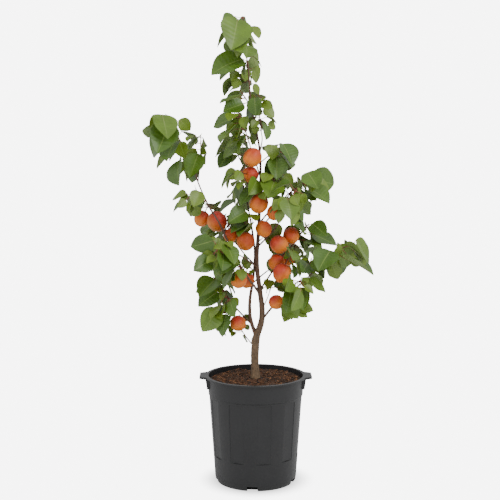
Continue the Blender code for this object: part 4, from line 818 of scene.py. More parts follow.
def carried_frame(path):
    """Directions along a path, and two sides of it that turn no more than the path does."""
    along = np.gradient(path, axis=0)
    along /= np.linalg.norm(along, axis=1, keepdims=True)
    side = np.zeros_like(along)
    start = UP if abs(along[0, 2]) < 0.9 else np.array([1.0, 0, 0])
    for i, forward in enumerate(along):
        across = start - forward * float(start @ forward)
        side[i] = start = unit(across)
    return along, side, np.cross(along, side)


def tube_faces(rows, sides, turned_over=False):
    """Quads between rings of points in rows, and triangles to a point at each end, which come last."""
    i, j = np.meshgrid(np.arange(rows - 1), np.arange(sides), indexing="ij")
    i, j = i.ravel(), j.ravel()
    k = (j + 1) % sides
    quads = np.stack([i * sides + j, i * sides + k, (i + 1) * sides + k, (i + 1) * sides + j], 1)
    j = np.arange(sides)
    k = (j + 1) % sides
    foot, last = np.full(sides, rows * sides), (rows - 1) * sides
    caps = np.vstack([np.stack([foot, k, j], 1), np.stack([foot + 1, last + j, last + k], 1)])
    if turned_over:
        quads, caps = (np.roll(faces[:, ::-1], 1, axis=1) for faces in (quads, caps))
    return quads, caps


def sweep(path, radii, sides, relief=None):
    """Rings round a path, at the radius plus a relief of (length along, angle), with a point at each end.

    Returns the points, the quads, the triangles and each point's length along the path.
    """
    along, side, other = carried_frame(path)
    length = lengths_along(path)
    angle = 2 * np.pi * np.arange(sides) / sides
    radius = np.repeat(np.asarray(radii, float)[:, None], sides, axis=1)
    if relief is not None:
        radius = radius + relief(length[:, None], angle[None])
    ring = path[:, None] + radius[..., None] * (
        np.cos(angle)[None, :, None] * side[:, None] + np.sin(angle)[None, :, None] * other[:, None])
    points = np.vstack([ring.reshape(-1, 3), path[:1], path[-1:]])
    lengths = np.concatenate([np.repeat(length, sides), length[:1], length[-1:]])
    return points, *tube_faces(len(path), sides), lengths


def resample(path, radii, step):
    """The same route at even steps, with each inner point averaged three times with its neighbours."""
    length = lengths_along(path)
    count = max(4, int(round(length[-1] / step)) + 1)
    even = np.linspace(0, length[-1], count)
    fine = np.stack([np.interp(even, length, path[:, k]) for k in range(3)], 1)
    for _ in range(3):
        fine[1:-1] = (fine[:-2] + 2 * fine[1:-1] + fine[2:]) / 4
    return fine, np.interp(even, length, radii)


def ripple(seed, waves, around, per_metre):
    """A smooth field on a tube: a sum of sines with whole turns round it and random rates along it."""
    rng = np.random.default_rng(seed)
    turns = rng.integers(around[0], around[1] + 1, waves)
    rates = rng.uniform(per_metre[0], per_metre[1], waves) * rng.choice([-1, 1], waves)
    phases = rng.uniform(0, 2 * np.pi, waves)

    def field(length, angle):
        total = 0.0
        for m, f, p in zip(turns, rates, phases):
            total = total + np.sin(m * angle + f * length + p)
        return total / math.sqrt(waves)

    return field


print("faces of a tube of two rings of four:", [len(faces) for faces in tube_faces(2, 4)])

# %% [markdown]
# ## Materials
#
# Two node groups are shared. One mottles a colour with fine and broad noise, the other turns noise
# into a bump. Blades add veins, and stalks, bark, twigs and fruit blend two colours by a value.

# %% Node groups
def new_group(name, output, kind, **inputs):
    """A node group with one output. An input with four values is a colour, any other a number."""
    group = bpy.data.node_groups.new(name, "ShaderNodeTree")
    for label, default in inputs.items():
        sort = "NodeSocketColor" if isinstance(default, tuple) else "NodeSocketFloat"
        socket = group.interface.new_socket(name=label, in_out="INPUT", socket_type=sort)
        socket.default_value = default
    group.interface.new_socket(name=output, in_out="OUTPUT", socket_type=kind)
    return group, group.nodes.new("NodeGroupInput"), group.nodes.new("NodeGroupOutput")


def link_nodes(tree, *pairs):
    """Joins each output to its input."""
    for source, target in pairs:
        tree.links.new(source, target)


def set_inputs(node, **values):
    """Sets a node's inputs by name, with a low line for each space."""
    for label, value in values.items():
        node.inputs[label.replace("_", " ")].default_value = value


def mottle_group():
    """Colour times a factor that broad and fine noise swing round one."""
    group, given, made = new_group(
        "mottle", "Color", "NodeSocketColor", Color=(0.5, 0.5, 0.5, 1), Scale=60.0, Amount=0.3)
    place = group.nodes.new("ShaderNodeTexCoord")
    noise = group.nodes.new("ShaderNodeTexNoise")
    set_inputs(noise, Detail=6, Roughness=0.6)
    spread = group.nodes.new("ShaderNodeMapRange")
    set_inputs(spread, From_Min=0.3, From_Max=0.7, To_Min=-1)
    swing = group.nodes.new("ShaderNodeMath")
    swing.operation = "MULTIPLY_ADD"
    swing.inputs[2].default_value = 1.0
    tint = group.nodes.new("ShaderNodeVectorMath")
    tint.operation = "SCALE"
    link_nodes(
        group,
        (place.outputs["Object"], noise.inputs["Vector"]),
        (given.outputs["Scale"], noise.inputs["Scale"]),
        (noise.outputs["Fac"], spread.inputs["Value"]),
        (spread.outputs["Result"], swing.inputs[0]),
        (given.outputs["Amount"], swing.inputs[1]),
        (given.outputs["Color"], tint.inputs[0]),
        (swing.outputs["Value"], tint.inputs["Scale"]),
        (tint.outputs["Vector"], made.inputs["Color"]),
    )
    return group


def grain_group():
    """A bump from fine noise: the normal it gives feeds a shader's Normal."""
    group, given, made = new_group(
        "grain", "Normal", "NodeSocketVector", Scale=300.0, Strength=0.2, Distance=0.0005)
    place = group.nodes.new("ShaderNodeTexCoord")
    noise = group.nodes.new("ShaderNodeTexNoise")
    set_inputs(noise, Detail=5)
    bump = group.nodes.new("ShaderNodeBump")
    link_nodes(
        group,
        (place.outputs["Object"], noise.inputs["Vector"]),
        (given.outputs["Scale"], noise.inputs["Scale"]),
        (noise.outputs["Fac"], bump.inputs["Height"]),
        (given.outputs["Strength"], bump.inputs["Strength"]),
        (given.outputs["Distance"], bump.inputs["Distance"]),
        (bump.outputs["Normal"], made.inputs["Normal"]),
    )
    return group


MOTTLE, GRAIN = mottle_group(), grain_group()


def shader(name, roughness, **constants):
    """A material with its Principled shader; the shader's constants are set on its own sockets."""
    material = bpy.data.materials.new(name)
    material.use_nodes = True
    tree = material.node_tree
    surface = tree.nodes["Principled BSDF"]
    set_inputs(surface, Roughness=roughness, **constants)
    return material, tree, surface


def grouped(tree, group, **values):
    """One use of a node group."""
    node = tree.nodes.new("ShaderNodeGroup")
    node.node_tree = group
    set_inputs(node, **values)
    return node


def surfaced(tree, surface, colour, grain, strength, depth):
    """Gives the shader its colour and a fine grain: noise scale, strength, and depth in metres."""
    bump = grouped(tree, GRAIN, Scale=grain, Strength=strength, Distance=depth)
    link_nodes(
        tree,
        (colour, surface.inputs["Base Color"]),
        (bump.outputs["Normal"], surface.inputs["Normal"]),
    )


def mottled(name, colour, roughness, scale, amount, *grain, **constants):
    """One colour, mottled, with a fine grain."""
    material, tree, surface = shader(name, roughness, **constants)
    tone = grouped(tree, MOTTLE, Color=(*colour, 1), Scale=scale, Amount=amount)
    surfaced(tree, surface, tone.outputs["Color"], *grain)
    return material


def two_tone(name, low_colour, high_colour, roughness, scale, amount, *grain, **constants):
    """A mottled blend of two colours by the points' value, from 0 to 1, with a fine grain."""
    material, tree, surface = shader(name, roughness, **constants)
    value = tree.nodes.new("ShaderNodeAttribute")
    value.attribute_name = "value"
    blend = tree.nodes.new("ShaderNodeMix")
    blend.data_type = "RGBA"
    blend.inputs[6].default_value = (*low_colour, 1)
    blend.inputs[7].default_value = (*high_colour, 1)
    tone = grouped(tree, MOTTLE, Scale=scale, Amount=amount)
    link_nodes(tree, (value.outputs["Fac"], blend.inputs[0]), (blend.outputs[2], tone.inputs["Color"]))
    surfaced(tree, surface, tone.outputs["Color"], *grain)
    return material


print("node groups:", [group.name for group in bpy.data.node_groups])

# %% [markdown]
# A blade's UV runs from 0 at its foot to 1 at its tip, and from 0 to 1 across. The midrib is the
# line at 0.5, and the side veins leave it at even steps and bend towards the tip.

# %% Blade material
VEIN_PAIRS = 8.0
VEIN_BEND = 0.24
VEIN_POWER = 1.2
VEIN_FROM = 0.40
VEIN_SLOPE = 10.0
VEIN_FADE = 0.6
MIDRIB_SLOPE = 16.0
BLADE_MOTTLE = {"Scale": 38.0, "Amount": 0.22}
BLADE_GRAIN = (420.0, 0.25, 0.0004)


def blade_material(name, colour, vein, roughness, vein_share, **constants):
    """A blade's colour, paler on its midrib and its side veins.

    A side vein is where u, less the bend of v, times the pairs of veins comes near a whole step.
    """
    material, tree, surface = shader(name, roughness, **constants)
    nodes = tree.nodes
    flat = nodes.new("ShaderNodeUVMap")
    split = nodes.new("ShaderNodeSeparateXYZ")
    link_nodes(tree, (flat.outputs["UV"], split.inputs["Vector"]))

    def maths(operation, a, b=None, c=None):
        """The output of one sum with numbers or other outputs."""
        node = nodes.new("ShaderNodeMath")
        node.operation = operation
        for k, value in enumerate((a, b, c)):
            if isinstance(value, (int, float)):
                node.inputs[k].default_value = value
            elif value is not None:
                tree.links.new(value, node.inputs[k])
        return node.outputs["Value"]

    u, v = split.outputs["X"], split.outputs["Y"]
    across = maths("MULTIPLY", maths("ABSOLUTE", maths("SUBTRACT", v, 0.5)), 2.0)
    bent = maths("MULTIPLY", maths("POWER", across, VEIN_POWER), VEIN_BEND)
    step = maths("MULTIPLY", maths("SUBTRACT", u, bent), VEIN_PAIRS)
    off = maths("ABSOLUTE", maths("SUBTRACT", maths("FRACT", step), 0.5))
    ridge = maths("MULTIPLY", maths("SUBTRACT", off, VEIN_FROM), VEIN_SLOPE)
    ridge = maths("MAXIMUM", maths("SMOOTH_MIN", ridge, 1.0, 0.1), 0.0)
    side_vein = maths("MULTIPLY", ridge, maths("SUBTRACT", 1.0, maths("MULTIPLY", across, VEIN_FADE)))
    midrib = maths("MAXIMUM", maths("SUBTRACT", 1.0, maths("MULTIPLY", across, MIDRIB_SLOPE)), 0.0)
    mark = maths("MINIMUM", maths("ADD", maths("MULTIPLY", side_vein, vein_share), midrib), 1.0)
    tone = grouped(tree, MOTTLE, Color=(*colour, 1), **BLADE_MOTTLE)
    paint = nodes.new("ShaderNodeMix")
    paint.data_type = "RGBA"
    paint.inputs[7].default_value = (*vein, 1)
    link_nodes(tree, (mark, paint.inputs[0]), (tone.outputs["Color"], paint.inputs[6]))
    surfaced(tree, surface, paint.outputs[2], *BLADE_GRAIN)
    return material


LEAF_TINTS = ((0.074, 0.150, 0.007), (0.100, 0.180, 0.010), (0.056, 0.122, 0.006), (0.130, 0.205, 0.012))
VEIN_TINT = (0.165, 0.250, 0.040)
blade_tops = [
    blade_material(f"blade_top_{k}", colour, VEIN_TINT, 0.46, 0.22, Specular_IOR_Level=0.55)
    for k, colour in enumerate(LEAF_TINTS)
]
blade_under = blade_material("blade_under", (0.150, 0.225, 0.045), (0.24, 0.31, 0.10), 0.62, 0.45)
print("tints of blades:", len(blade_tops))

# %% [markdown]
# The other finishes are a mottle and a grain. After the colours come the roughness, the mottle's scale
# and amount, and the grain's scale, strength and depth.

# %% Bark, fruit, pot and mix materials
stalk_material = two_tone(
    "leaf_stalk", (0.230, 0.050, 0.030), (0.270, 0.300, 0.110), 0.5, 90, 0.25, 500, 0.2, 0.0003)
bark_material = two_tone(
    "tree_bark", (0.135, 0.085, 0.045), (0.100, 0.048, 0.031), 0.72, 150, 0.45, 600, 0.5, 0.0008)
twig_material = two_tone(
    "young_twig", (0.100, 0.034, 0.022), (0.160, 0.050, 0.022), 0.5, 160, 0.3, 700, 0.3, 0.0004)
fruit_material = two_tone(
    "apricot_skin", (0.700, 0.175, 0.004), (0.450, 0.018, 0.010), 0.55, 75, 0.14, 1500, 0.2, 0.0003,
    Sheen_Weight=0.08, Sheen_Roughness=0.5)
pot_material = mottled(
    "moulded_pot", (0.012, 0.012, 0.013), 0.44, 25, 0.12, 700, 0.12, 0.0004, Specular_IOR_Level=0.38)
mix_material = mottled("bark_mix", (0.040, 0.020, 0.011), 0.95, 180, 0.6, 400, 0.8, 0.002)
CHIP_TINTS = ((0.060, 0.028, 0.014), (0.110, 0.044, 0.018), (0.200, 0.088, 0.034), (0.030, 0.015, 0.009))
chip_materials = [
    mottled(f"chip_{k}", colour, 0.9, 260, 0.45, 500, 0.6, 0.001) for k, colour in enumerate(CHIP_TINTS)]
print("materials:", len(bpy.data.materials))

# %% [markdown]
# ## Leaves
#
# The fine blade follows the plain one: the same axis, fold and arch, with the outline's teeth, a
# soft wave at the margin, and the surface puffed up between the side veins.

# %% Blades
BLADE_ROWS = 31
BLADE_COLUMNS = 7
BLADE_THICK = 0.45 * MM
TOOTH = 0.55 * MM
TOOTHED_HALF = 3 * MM
LEAST_HALF = 0.5 * MM
PUFF = 0.008
MARGIN = 0.020
MARGIN_RATE = 9.5
RIB_DEPTH = 0.5 * MM
RIB_WIDTH = 1.3 * MM


def full_width(u):
    """The outline of the fine blade: as the plain one to its widest point, then fuller before the tip."""
    x = np.clip((u - WIDEST) / (1 - WIDEST), 0, 1)
    return np.where(u < WIDEST, leaf_width(u), (1 - x**1.8) ** 0.88)


def blade_sheet(leaf, wave):
    """Points of a fine blade, (rows, columns, 3), and its UV.

    The plain blade's surface, plus teeth that step out and in along the margin, a puff between the
    side veins, a wave that grows towards the margin, and a furrow at the midrib.
    """
    u = np.linspace(0.0, 1.0, BLADE_ROWS)[:, None]
    v = np.sin(np.linspace(-1, 1, BLADE_COLUMNS) * np.pi / 2)[None]
    v = np.sign(v) * np.abs(v) ** 1.15
    half = np.maximum(leaf["width"] / 2 * full_width(u), LEAST_HALF)
    tooth = TOOTH * np.where(np.arange(BLADE_ROWS) % 2, 1.0, -1.0)[:, None] * (half > TOOTHED_HALF)
    reach = half + tooth * (np.abs(v) > 0.99)
    size = leaf["length"]
    along, drop = arched(leaf, u)
    phase = (u - VEIN_BEND * np.abs(v) ** VEIN_POWER) * VEIN_PAIRS
    puff = PUFF * size * np.cos(2 * np.pi * phase) * np.sin(np.pi * np.abs(v)) * np.sin(np.pi * u)
    swing = np.sin(wave[0] + np.sign(v) * wave[1] + MARGIN_RATE * u)
    margin = MARGIN * size * np.abs(v) ** 2.5 * swing * np.sin(np.pi * u)
    rib = -RIB_DEPTH * np.exp(-((v * half) / RIB_WIDTH) ** 2)
    lift = np.abs(v) * half * leaf["fold"] - drop + puff + margin + rib
    points = (leaf["base"] + along[..., None] * leaf["axis"] + (v * reach)[..., None] * leaf["side"]
              + lift[..., None] * leaf["normal"])
    flat = np.stack(np.broadcast_arrays(u, (v + 1) / 2), -1)
    return points, flat


def blade_faces():
    """Quads of a closed blade: the top sheet, the sheet under it turned over, and the rim between them."""
    rows, columns = BLADE_ROWS, BLADE_COLUMNS
    grid = np.arange(rows * columns).reshape(rows, columns)
    top = np.stack([grid[:-1, :-1], grid[:-1, 1:], grid[1:, 1:], grid[1:, :-1]], -1).reshape(-1, 4)
    under = top[:, ::-1] + rows * columns
    loop = np.concatenate([grid[0, :-1], grid[:-1, -1], grid[-1, :0:-1], grid[:0:-1, 0]])
    after = np.roll(loop, -1)
    rim = np.stack([after, loop, loop + rows * columns, after + rows * columns], 1)
    return top, under, rim


TOP_QUADS, UNDER_QUADS, RIM_QUADS = blade_faces()


BLADE_QUADS = np.vstack([TOP_QUADS, UNDER_QUADS, RIM_QUADS])


def add_blade(stack, leaf, tint):
    """A blade of two sheets and their rim, in its tint above and the pale colour below."""
    sheet, flat = blade_sheet(leaf, dice.uniform(0, 2 * np.pi, 2))
    below = sheet - leaf["normal"] * BLADE_THICK
    points = np.vstack([sheet.reshape(-1, 3), below.reshape(-1, 3)])
    slots = np.full(len(BLADE_QUADS), tint)
    slots[len(TOP_QUADS):len(TOP_QUADS) + len(UNDER_QUADS)] = len(LEAF_TINTS)
    flat = flat.reshape(-1, 2)
    stack.add(points, BLADE_QUADS, flat=np.vstack([flat, flat]), slot=slots)


# A stalk's points before the blade and under it, its radii at some of these points, and its sides.
STALK_SHARES = np.linspace(0, 0.94, 7)
RIB_SHARES = (0.03, 0.15, 0.30, 0.45, 0.60, 0.75, 0.88)
STALK_KNOTS = (0, 1, 3, 7, 13)
STALK_RADII = np.array([1.35, 0.95, 0.78, 0.75, 0.25]) * MM
STALK_SAG = 0.9 * MM
STALK_ROOT = 0.6 * MM
RIB_BELOW = 0.45 * MM
STALK_SIDES = 8


def add_stalk(stack, leaf):
    """The leaf's stalk, thickest at its foot, which runs on under the blade as its midrib."""
    here, base = leaf["stalk"][0], leaf["base"]
    toward = unit(base - here)
    bare = [here + (base - here) * t - UP * STALK_SAG * math.sin(math.pi * t) for t in STALK_SHARES]
    under = blade_points(leaf, RIB_SHARES, 0.0) - leaf["normal"] * (BLADE_THICK + RIB_BELOW)
    path = np.vstack([bare, under])
    path[0] = here - toward * STALK_ROOT
    small = 0.75 + 0.25 * leaf["length"] / FULL_LEAF
    radii = np.interp(np.arange(len(path)), STALK_KNOTS, STALK_RADII) * small
    points, quads, caps, length = sweep(path, radii, STALK_SIDES)
    bare_length = lengths_along(path)[len(STALK_SHARES)]
    value = np.clip((length - 0.75 * bare_length) / (0.7 * bare_length), 0, 1)
    stack.add(points, quads, caps, value=value)


print("quads of a blade:", len(BLADE_QUADS))

# %% [markdown]
# The blades are four pieces, by height, so that none is too large. Each spray takes two neighbouring
# tints of the first three, and the smallest leaves take the palest one.

# %% Blades and stalks as pieces
BANDS = {"lowest": 0.0, "low": 0.56, "high": 0.68, "highest": 0.80}
SMALL_LEAF = 4.6 * CM
mass_names = list(MASSES)
bands = {band: [] for band in BANDS}
for leaf in all_leaves:
    bands[[band for band, foot in BANDS.items() if leaf["middle"][2] >= foot][-1]].append(leaf)
for band, members in bands.items():
    stack = Stack()
    for leaf in members:
        spray = mass_names.index(leaf["owner"])
        tint = int((spray + dice.integers(0, 2)) % 3) if leaf["length"] > SMALL_LEAF else 3
        add_blade(stack, leaf, tint)
    owners = sorted({leaf["owner"] for leaf in members})
    dress(stack.make(f"blades_{band}", [*blade_tops, blade_under], 55), owners)

stack = Stack()
for leaf in all_leaves:
    add_stalk(stack, leaf)
dress(stack.make("leaf_stalks", [stalk_material]), mass_names)

# %% [markdown]
# ## Wood
#
# The trunk and boughs keep the model's routes and radii. Their bark has long shallow furrows, small
# raised cross marks, and on the left of the fork the scar of a removed stem. Above, the twigs swell
# at each leaf and carry a bud there.

# %% Trunk and boughs
KNOB = np.array([-1.15, -0.25, 34.2]) * CM
KNOB_RADIUS = 7 * MM
KNOB_HEIGHT = 3.2 * MM
BARK_LOW = 0.34
BARK_HIGH = 0.62
FURROW = 0.32 * MM
ROUGHNESS = 0.12 * MM
MARK = 0.38 * MM
MARK_LENGTH = 0.9 * MM
MARK_TURN = 0.30


def cross_marks(seed, total, count):
    """Raised marks across the bark: short in length along, wide in angle, each a smooth bump."""
    rng = np.random.default_rng(seed)
    places, turns = rng.uniform(0, total, count), rng.uniform(0, 2 * np.pi, count)

    def field(length, angle):
        height = 0.0
        for s, a in zip(places, turns):
            apart = np.angle(np.exp(1j * (angle - a)))
            height = height + np.exp(-((length - s) / MARK_LENGTH) ** 2 - (apart / MARK_TURN) ** 2)
        return np.minimum(height, 1.2)

    return field


def bark_relief(number, thick, total, radii):
    """The bark's height: furrows, roughness and cross marks, each fading out where the limb is thin."""
    furrow = ripple(300 + number, 9, (3, 12) if thick else (2, 7), (15, 90))
    rough = ripple(340 + number, 12, (4, 16), (150, 700))
    marks = cross_marks(380 + number, total, int(total * (260 if thick else 160)))
    scale = radii[:, None] / (10 * MM)
    return lambda length, angle: (
        FURROW * furrow(length, angle) * np.minimum(scale * 1.6, 1.2)
        + ROUGHNESS * rough(length, angle) * np.minimum(scale * 2, 1)
        + MARK * marks(length, angle) * np.minimum(scale * 2.4, 1))


stack = Stack()
for number, name in enumerate(LIMBS):
    route, radii = limbs[name]
    thick = name == "trunk"
    path, fine_radii = resample(route, radii, 1.6 * MM if thick else 2.0 * MM)
    path[0], path[-1] = route[0], route[-1]
    relief = bark_relief(number, thick, lengths_along(path)[-1], fine_radii)
    points, quads, caps, _ = sweep(path, fine_radii, 44 if thick else 20, relief)
    off = points - KNOB
    near = np.exp(-(np.linalg.norm(off, axis=1) / KNOB_RADIUS) ** 2)
    dent = 1 - 0.7 * np.exp(-(np.linalg.norm(off[:, 1:], axis=1) / (2.4 * MM)) ** 2)
    points[:, 0] -= KNOB_HEIGHT * near * dent * (off[:, 0] < 6 * MM)
    high = np.clip((points[:, 2] - BARK_LOW) / (BARK_HIGH - BARK_LOW), 0, 1)
    value = high if thick else np.maximum(high, 0.55)
    stack.add(points, quads, caps, value=value)
dress(stack.make("barked_limbs", [bark_material], 80), list(LIMBS))

# %% [markdown]
# A twig swells at each leaf, and a bud stands in the angle above the leaf's stalk and at the twig's
# end. Short thick stalks bear the apricots.

# %% Twigs and buds
BUD_RINGS = np.array([0.15, 0.7, 1.0, 0.85, 0.45, 0.08])
BUD_WIDTH = 0.30
BUD_SIDES = 7
SIDE_BUD = 3.4 * MM
END_BUD = 3.6 * MM
BUD_OFFSET = 1.4 * MM
NODE_SWELL = 0.55 * MM
MOST_SWELL = 0.7 * MM
SWELL_LENGTH = 2.2 * MM
TWIG_SIDES = 12
TWIG_BUMPS = 0.07 * MM
SPUR_SHARE = 0.62
SPUR_RADII = np.linspace(1.5, 1.15, 8) * MM


def add_bud(stack, place, outward, size):
    """A pointed bud: rings that swell and close along its direction."""
    path = place + outward * np.linspace(-0.15, 1.0, len(BUD_RINGS))[:, None] * size
    points, quads, caps, _ = sweep(path, BUD_RINGS * size * BUD_WIDTH, BUD_SIDES)
    stack.add(points, quads, caps, value=0.15)


stack = Stack()
rooted = {name: [leaf for leaf in all_leaves if leaf["owner"] == name] for name in MASSES}
for number, name in enumerate(MASSES):
    path, radii = resample(*stems[name], 1.2 * MM)
    if MASSES[name][1] is None:
        path[0] = stems[name][0][0]
    length = lengths_along(path)
    swell = np.zeros(len(path))
    for leaf in rooted[name]:
        nearest = np.linalg.norm(path - leaf["stalk"][0], axis=1).argmin()
        swell += NODE_SWELL * np.exp(-((length - length[nearest]) / SWELL_LENGTH) ** 2)
    bumps = ripple(500 + number, 8, (2, 6), (100, 600))
    swollen = radii + np.minimum(swell, MOST_SWELL)
    points, quads, caps, along = sweep(path, swollen, TWIG_SIDES, lambda s, a: TWIG_BUMPS * bumps(s, a))
    stack.add(points, quads, caps, value=np.clip(along / max(length[-1], 1e-6), 0, 1))
    for leaf in rooted[name]:
        away = unit(leaf["stalk"][1] - leaf["stalk"][0])
        forward = leaf["along"]
        add_bud(stack, leaf["stalk"][0] + forward * BUD_OFFSET, unit(away * 0.6 + forward), SIDE_BUD)
    add_bud(stack, path[-1], unit(path[-1] - path[-3]), END_BUD)
for start, heart in clearance.spurs:
    toward = unit(heart - start)
    reach = float(np.linalg.norm(heart - start))
    path = start + toward * np.linspace(0, reach * SPUR_SHARE, len(SPUR_RADII))[:, None]
    points, quads, caps, _ = sweep(path, SPUR_RADII, STALK_SIDES)
    stack.add(points, quads, caps, value=0.1)
dress(stack.make("twigs_and_buds", [twig_material], 70), mass_names)

# %% [markdown]
# ## Apricots
#
# A ball a little narrower from cheek to cheek, with the furrow of the suture down its front, a hollow
# round the stalk and a small point opposite. The blush lies on a side that faces up and forward, and
# its heading, extent and strength are drawn for each fruit.

# %% Apricots
FRUIT_ROWS = 30
FRUIT_COLUMNS = 48


def fruit_surface(centre, diameter, stalk_from, rng):
    """Points of one fruit on a grid of polar angle and turn, with its two ends, and its blush.

    The radius is half the diameter times one, less the groove and the hollow, plus cheeks and point,
    with the ends a little fuller than the middle.
    """
    pole = unit(stalk_from - centre)
    face = unit(np.array([rng.uniform(-0.7, 0.7), -1.0, 0.1]))
    east = unit(face - pole * float(face @ pole))
    north = np.cross(pole, east)
    polar = np.linspace(0, np.pi, FRUIT_ROWS + 1)[1:-1, None]
    turn = (2 * np.pi * np.arange(FRUIT_COLUMNS) / FRUIT_COLUMNS)[None]
    apart = np.angle(np.exp(1j * (turn - rng.uniform(-0.5, 0.5))))
    groove = 0.055 * np.exp(-(apart / 0.16) ** 2) * np.sin(polar) ** 0.6
    cheeks = 0.020 * np.exp(-((np.abs(apart) - 0.55) / 0.35) ** 2) * np.sin(polar)
    cavity = 0.20 * np.exp(-(polar / 0.30) ** 2)
    point = 0.035 * np.exp(-((np.pi - polar) / 0.14) ** 2)
    radius = diameter / 2 * (1 - groove + cheeks - cavity + point) * (0.985 + 0.02 * np.cos(2 * polar))
    points = centre + radius[..., None] * (
        np.cos(polar)[..., None] * pole + (np.sin(polar) * np.cos(turn))[..., None] * east
        + (np.sin(polar) * np.sin(turn))[..., None] * north * 0.96)
    ends = [centre + pole * diameter / 2 * 0.80, centre - pole * diameter / 2 * 1.035]
    points = np.vstack([points.reshape(-1, 3), ends])
    sunny = unit(np.array([rng.uniform(-0.9, 0.9), -0.45, 0.75]))
    shade = ((points - centre) @ sunny) / (diameter / 2)
    blush = np.clip((shade - rng.uniform(-0.35, 0.25)) * 1.3, 0, 1) * rng.uniform(0.6, 1.0)
    return points, blush


stack = Stack()
fruit_dice = np.random.default_rng(61)
fruit_faces = tube_faces(FRUIT_ROWS - 1, FRUIT_COLUMNS, turned_over=True)
for (_, diameter, _), (start, heart) in zip(FRUITS, clearance.spurs):
    points, blush = fruit_surface(heart, diameter * CM, start, fruit_dice)
    stack.add(points, *fruit_faces, value=blush)
dress(stack.make("apricots", [fruit_material], 80), sorted({owner for _, _, owner in FRUITS}))

# %% [markdown]
# ## Pot
#
# The model's pot again at finer steps: the turned section, lugs and webs joined on, the flutes and
# drain slots cut out, and the edges rounded.

# %% Pot helpers
def link(name, mesh, collection):
    """A new object of the mesh in the collection."""
    made = bpy.data.objects.new(name, mesh)
    collection.objects.link(made)
    return made


def evaluated_mesh(item):
    """The item's mesh with its modifiers applied."""
    bpy.context.view_layer.update()
    graph = bpy.context.evaluated_depsgraph_get()
    return bpy.data.meshes.new_from_object(item.evaluated_get(graph))


def weld(mesh):
    """Joins points that coincide and turns the faces outward."""
    shape = bmesh.new()
    shape.from_mesh(mesh)
    bmesh.ops.remove_doubles(shape, verts=shape.verts, dist=1e-6)
    bmesh.ops.recalc_face_normals(shape, faces=shape.faces)
    shape.to_mesh(mesh)
    shape.free()


def settle(item):
    """Applies the item's modifiers."""
    mesh, old = evaluated_mesh(item), item.data
    item.modifiers.clear()
    item.data = mesh
    bpy.data.meshes.remove(old)


def boolean(item, others, operation):
    """Joins or cuts the item with a collection of objects, and removes them."""
    step = item.modifiers.new("shape", "BOOLEAN")
    step.operation = operation
    step.solver = "EXACT"
    step.operand_type = "COLLECTION"
    step.collection = others
    settle(item)
    for other in list(others.objects):
        bpy.data.objects.remove(other, do_unlink=True)


def turned(name, profile, collection):
    """A turned body: a profile that starts and ends on the axis, with a Screw modifier, applied."""
    mesh = bpy.data.meshes.new(name)
    mesh.from_pydata([(r, 0, z) for r, z in profile], [(i, i + 1) for i in range(len(profile) - 1)], [])
    item = link(name, mesh, collection)
    screw = item.modifiers.new("turn", "SCREW")
    screw.axis = "Z"
    screw.steps = POT_STEPS
    screw.render_steps = POT_STEPS
    screw.use_merge_vertices = True
    screw.merge_threshold = 1e-5
    screw.use_smooth_shade = True
    settle(item)
    weld(item.data)
    return item


def box(name, size, centre, collection, turn=0.0):
    """A block turned about the pot's axis: size and centre are radial, sideways and up."""
    shape = bmesh.new()
    bmesh.ops.create_cube(shape, size=1.0)
    bmesh.ops.scale(shape, vec=Vector(size), verts=shape.verts)
    mesh = bpy.data.meshes.new(name)
    shape.to_mesh(mesh)
    shape.free()
    item = link(name, mesh, collection)
    for v in item.data.vertices:
        x, y, z = v.co.x + centre[0], v.co.y + centre[1], v.co.z + centre[2]
        v.co = (x * math.cos(turn) - y * math.sin(turn), x * math.sin(turn) + y * math.cos(turn), z)
    return item


print("steps round the pot:", POT_STEPS)

# %% [markdown]
# The section runs from the floor's middle up the inside, over the rim and down the outside.

# %% Pot section
def body_radius(height):
    """The outer radius of the tapering side."""
    share = (height - BODY_FOOT_HEIGHT) / (COLLAR_FOOT_HEIGHT - BODY_FOOT_HEIGHT)
    return BODY_FOOT_RADIUS + (BODY_TOP_RADIUS - BODY_FOOT_RADIUS) * share


def pot_profile():
    """The pot's section from the floor's middle, up the inside, over the rim, down the outside."""
    step = COLLAR_FOOT_HEIGHT - 1.5 * MM
    under_rim = POT_HEIGHT - RIM_THICKNESS
    inside = [
        (0.0, FLOOR),
        (FOOT_RADIUS - WALL - 1 * MM, FLOOR),
        (BODY_FOOT_RADIUS - WALL, BODY_FOOT_HEIGHT + 1 * MM),
        (body_radius(step) - WALL, step),
        (MOUTH_RADIUS - 1 * MM, COLLAR_FOOT_HEIGHT + 4 * MM),
        (MOUTH_RADIUS, POT_HEIGHT),
    ]
    outside = [
        (RIM_RADIUS - 0.8 * MM, POT_HEIGHT),
        (RIM_RADIUS, POT_HEIGHT - 0.8 * MM),
        (RIM_RADIUS - 0.4 * MM, under_rim),
        (COLLAR_TOP_RADIUS, under_rim),
        (COLLAR_FOOT_RADIUS, COLLAR_FOOT_HEIGHT),
        (body_radius(step), step),
        (BODY_FOOT_RADIUS, BODY_FOOT_HEIGHT),
        (FOOT_RADIUS + 3.2 * MM, BODY_FOOT_HEIGHT * 0.30),
        (FOOT_RADIUS, 0.0),
        (0.0, 0.0),
    ]
    return inside + outside


print("points of the section:", len(pot_profile()))

# %% [markdown]
# Two lugs stand out at the rim to lift the pot by, and two webs under each stiffen it.

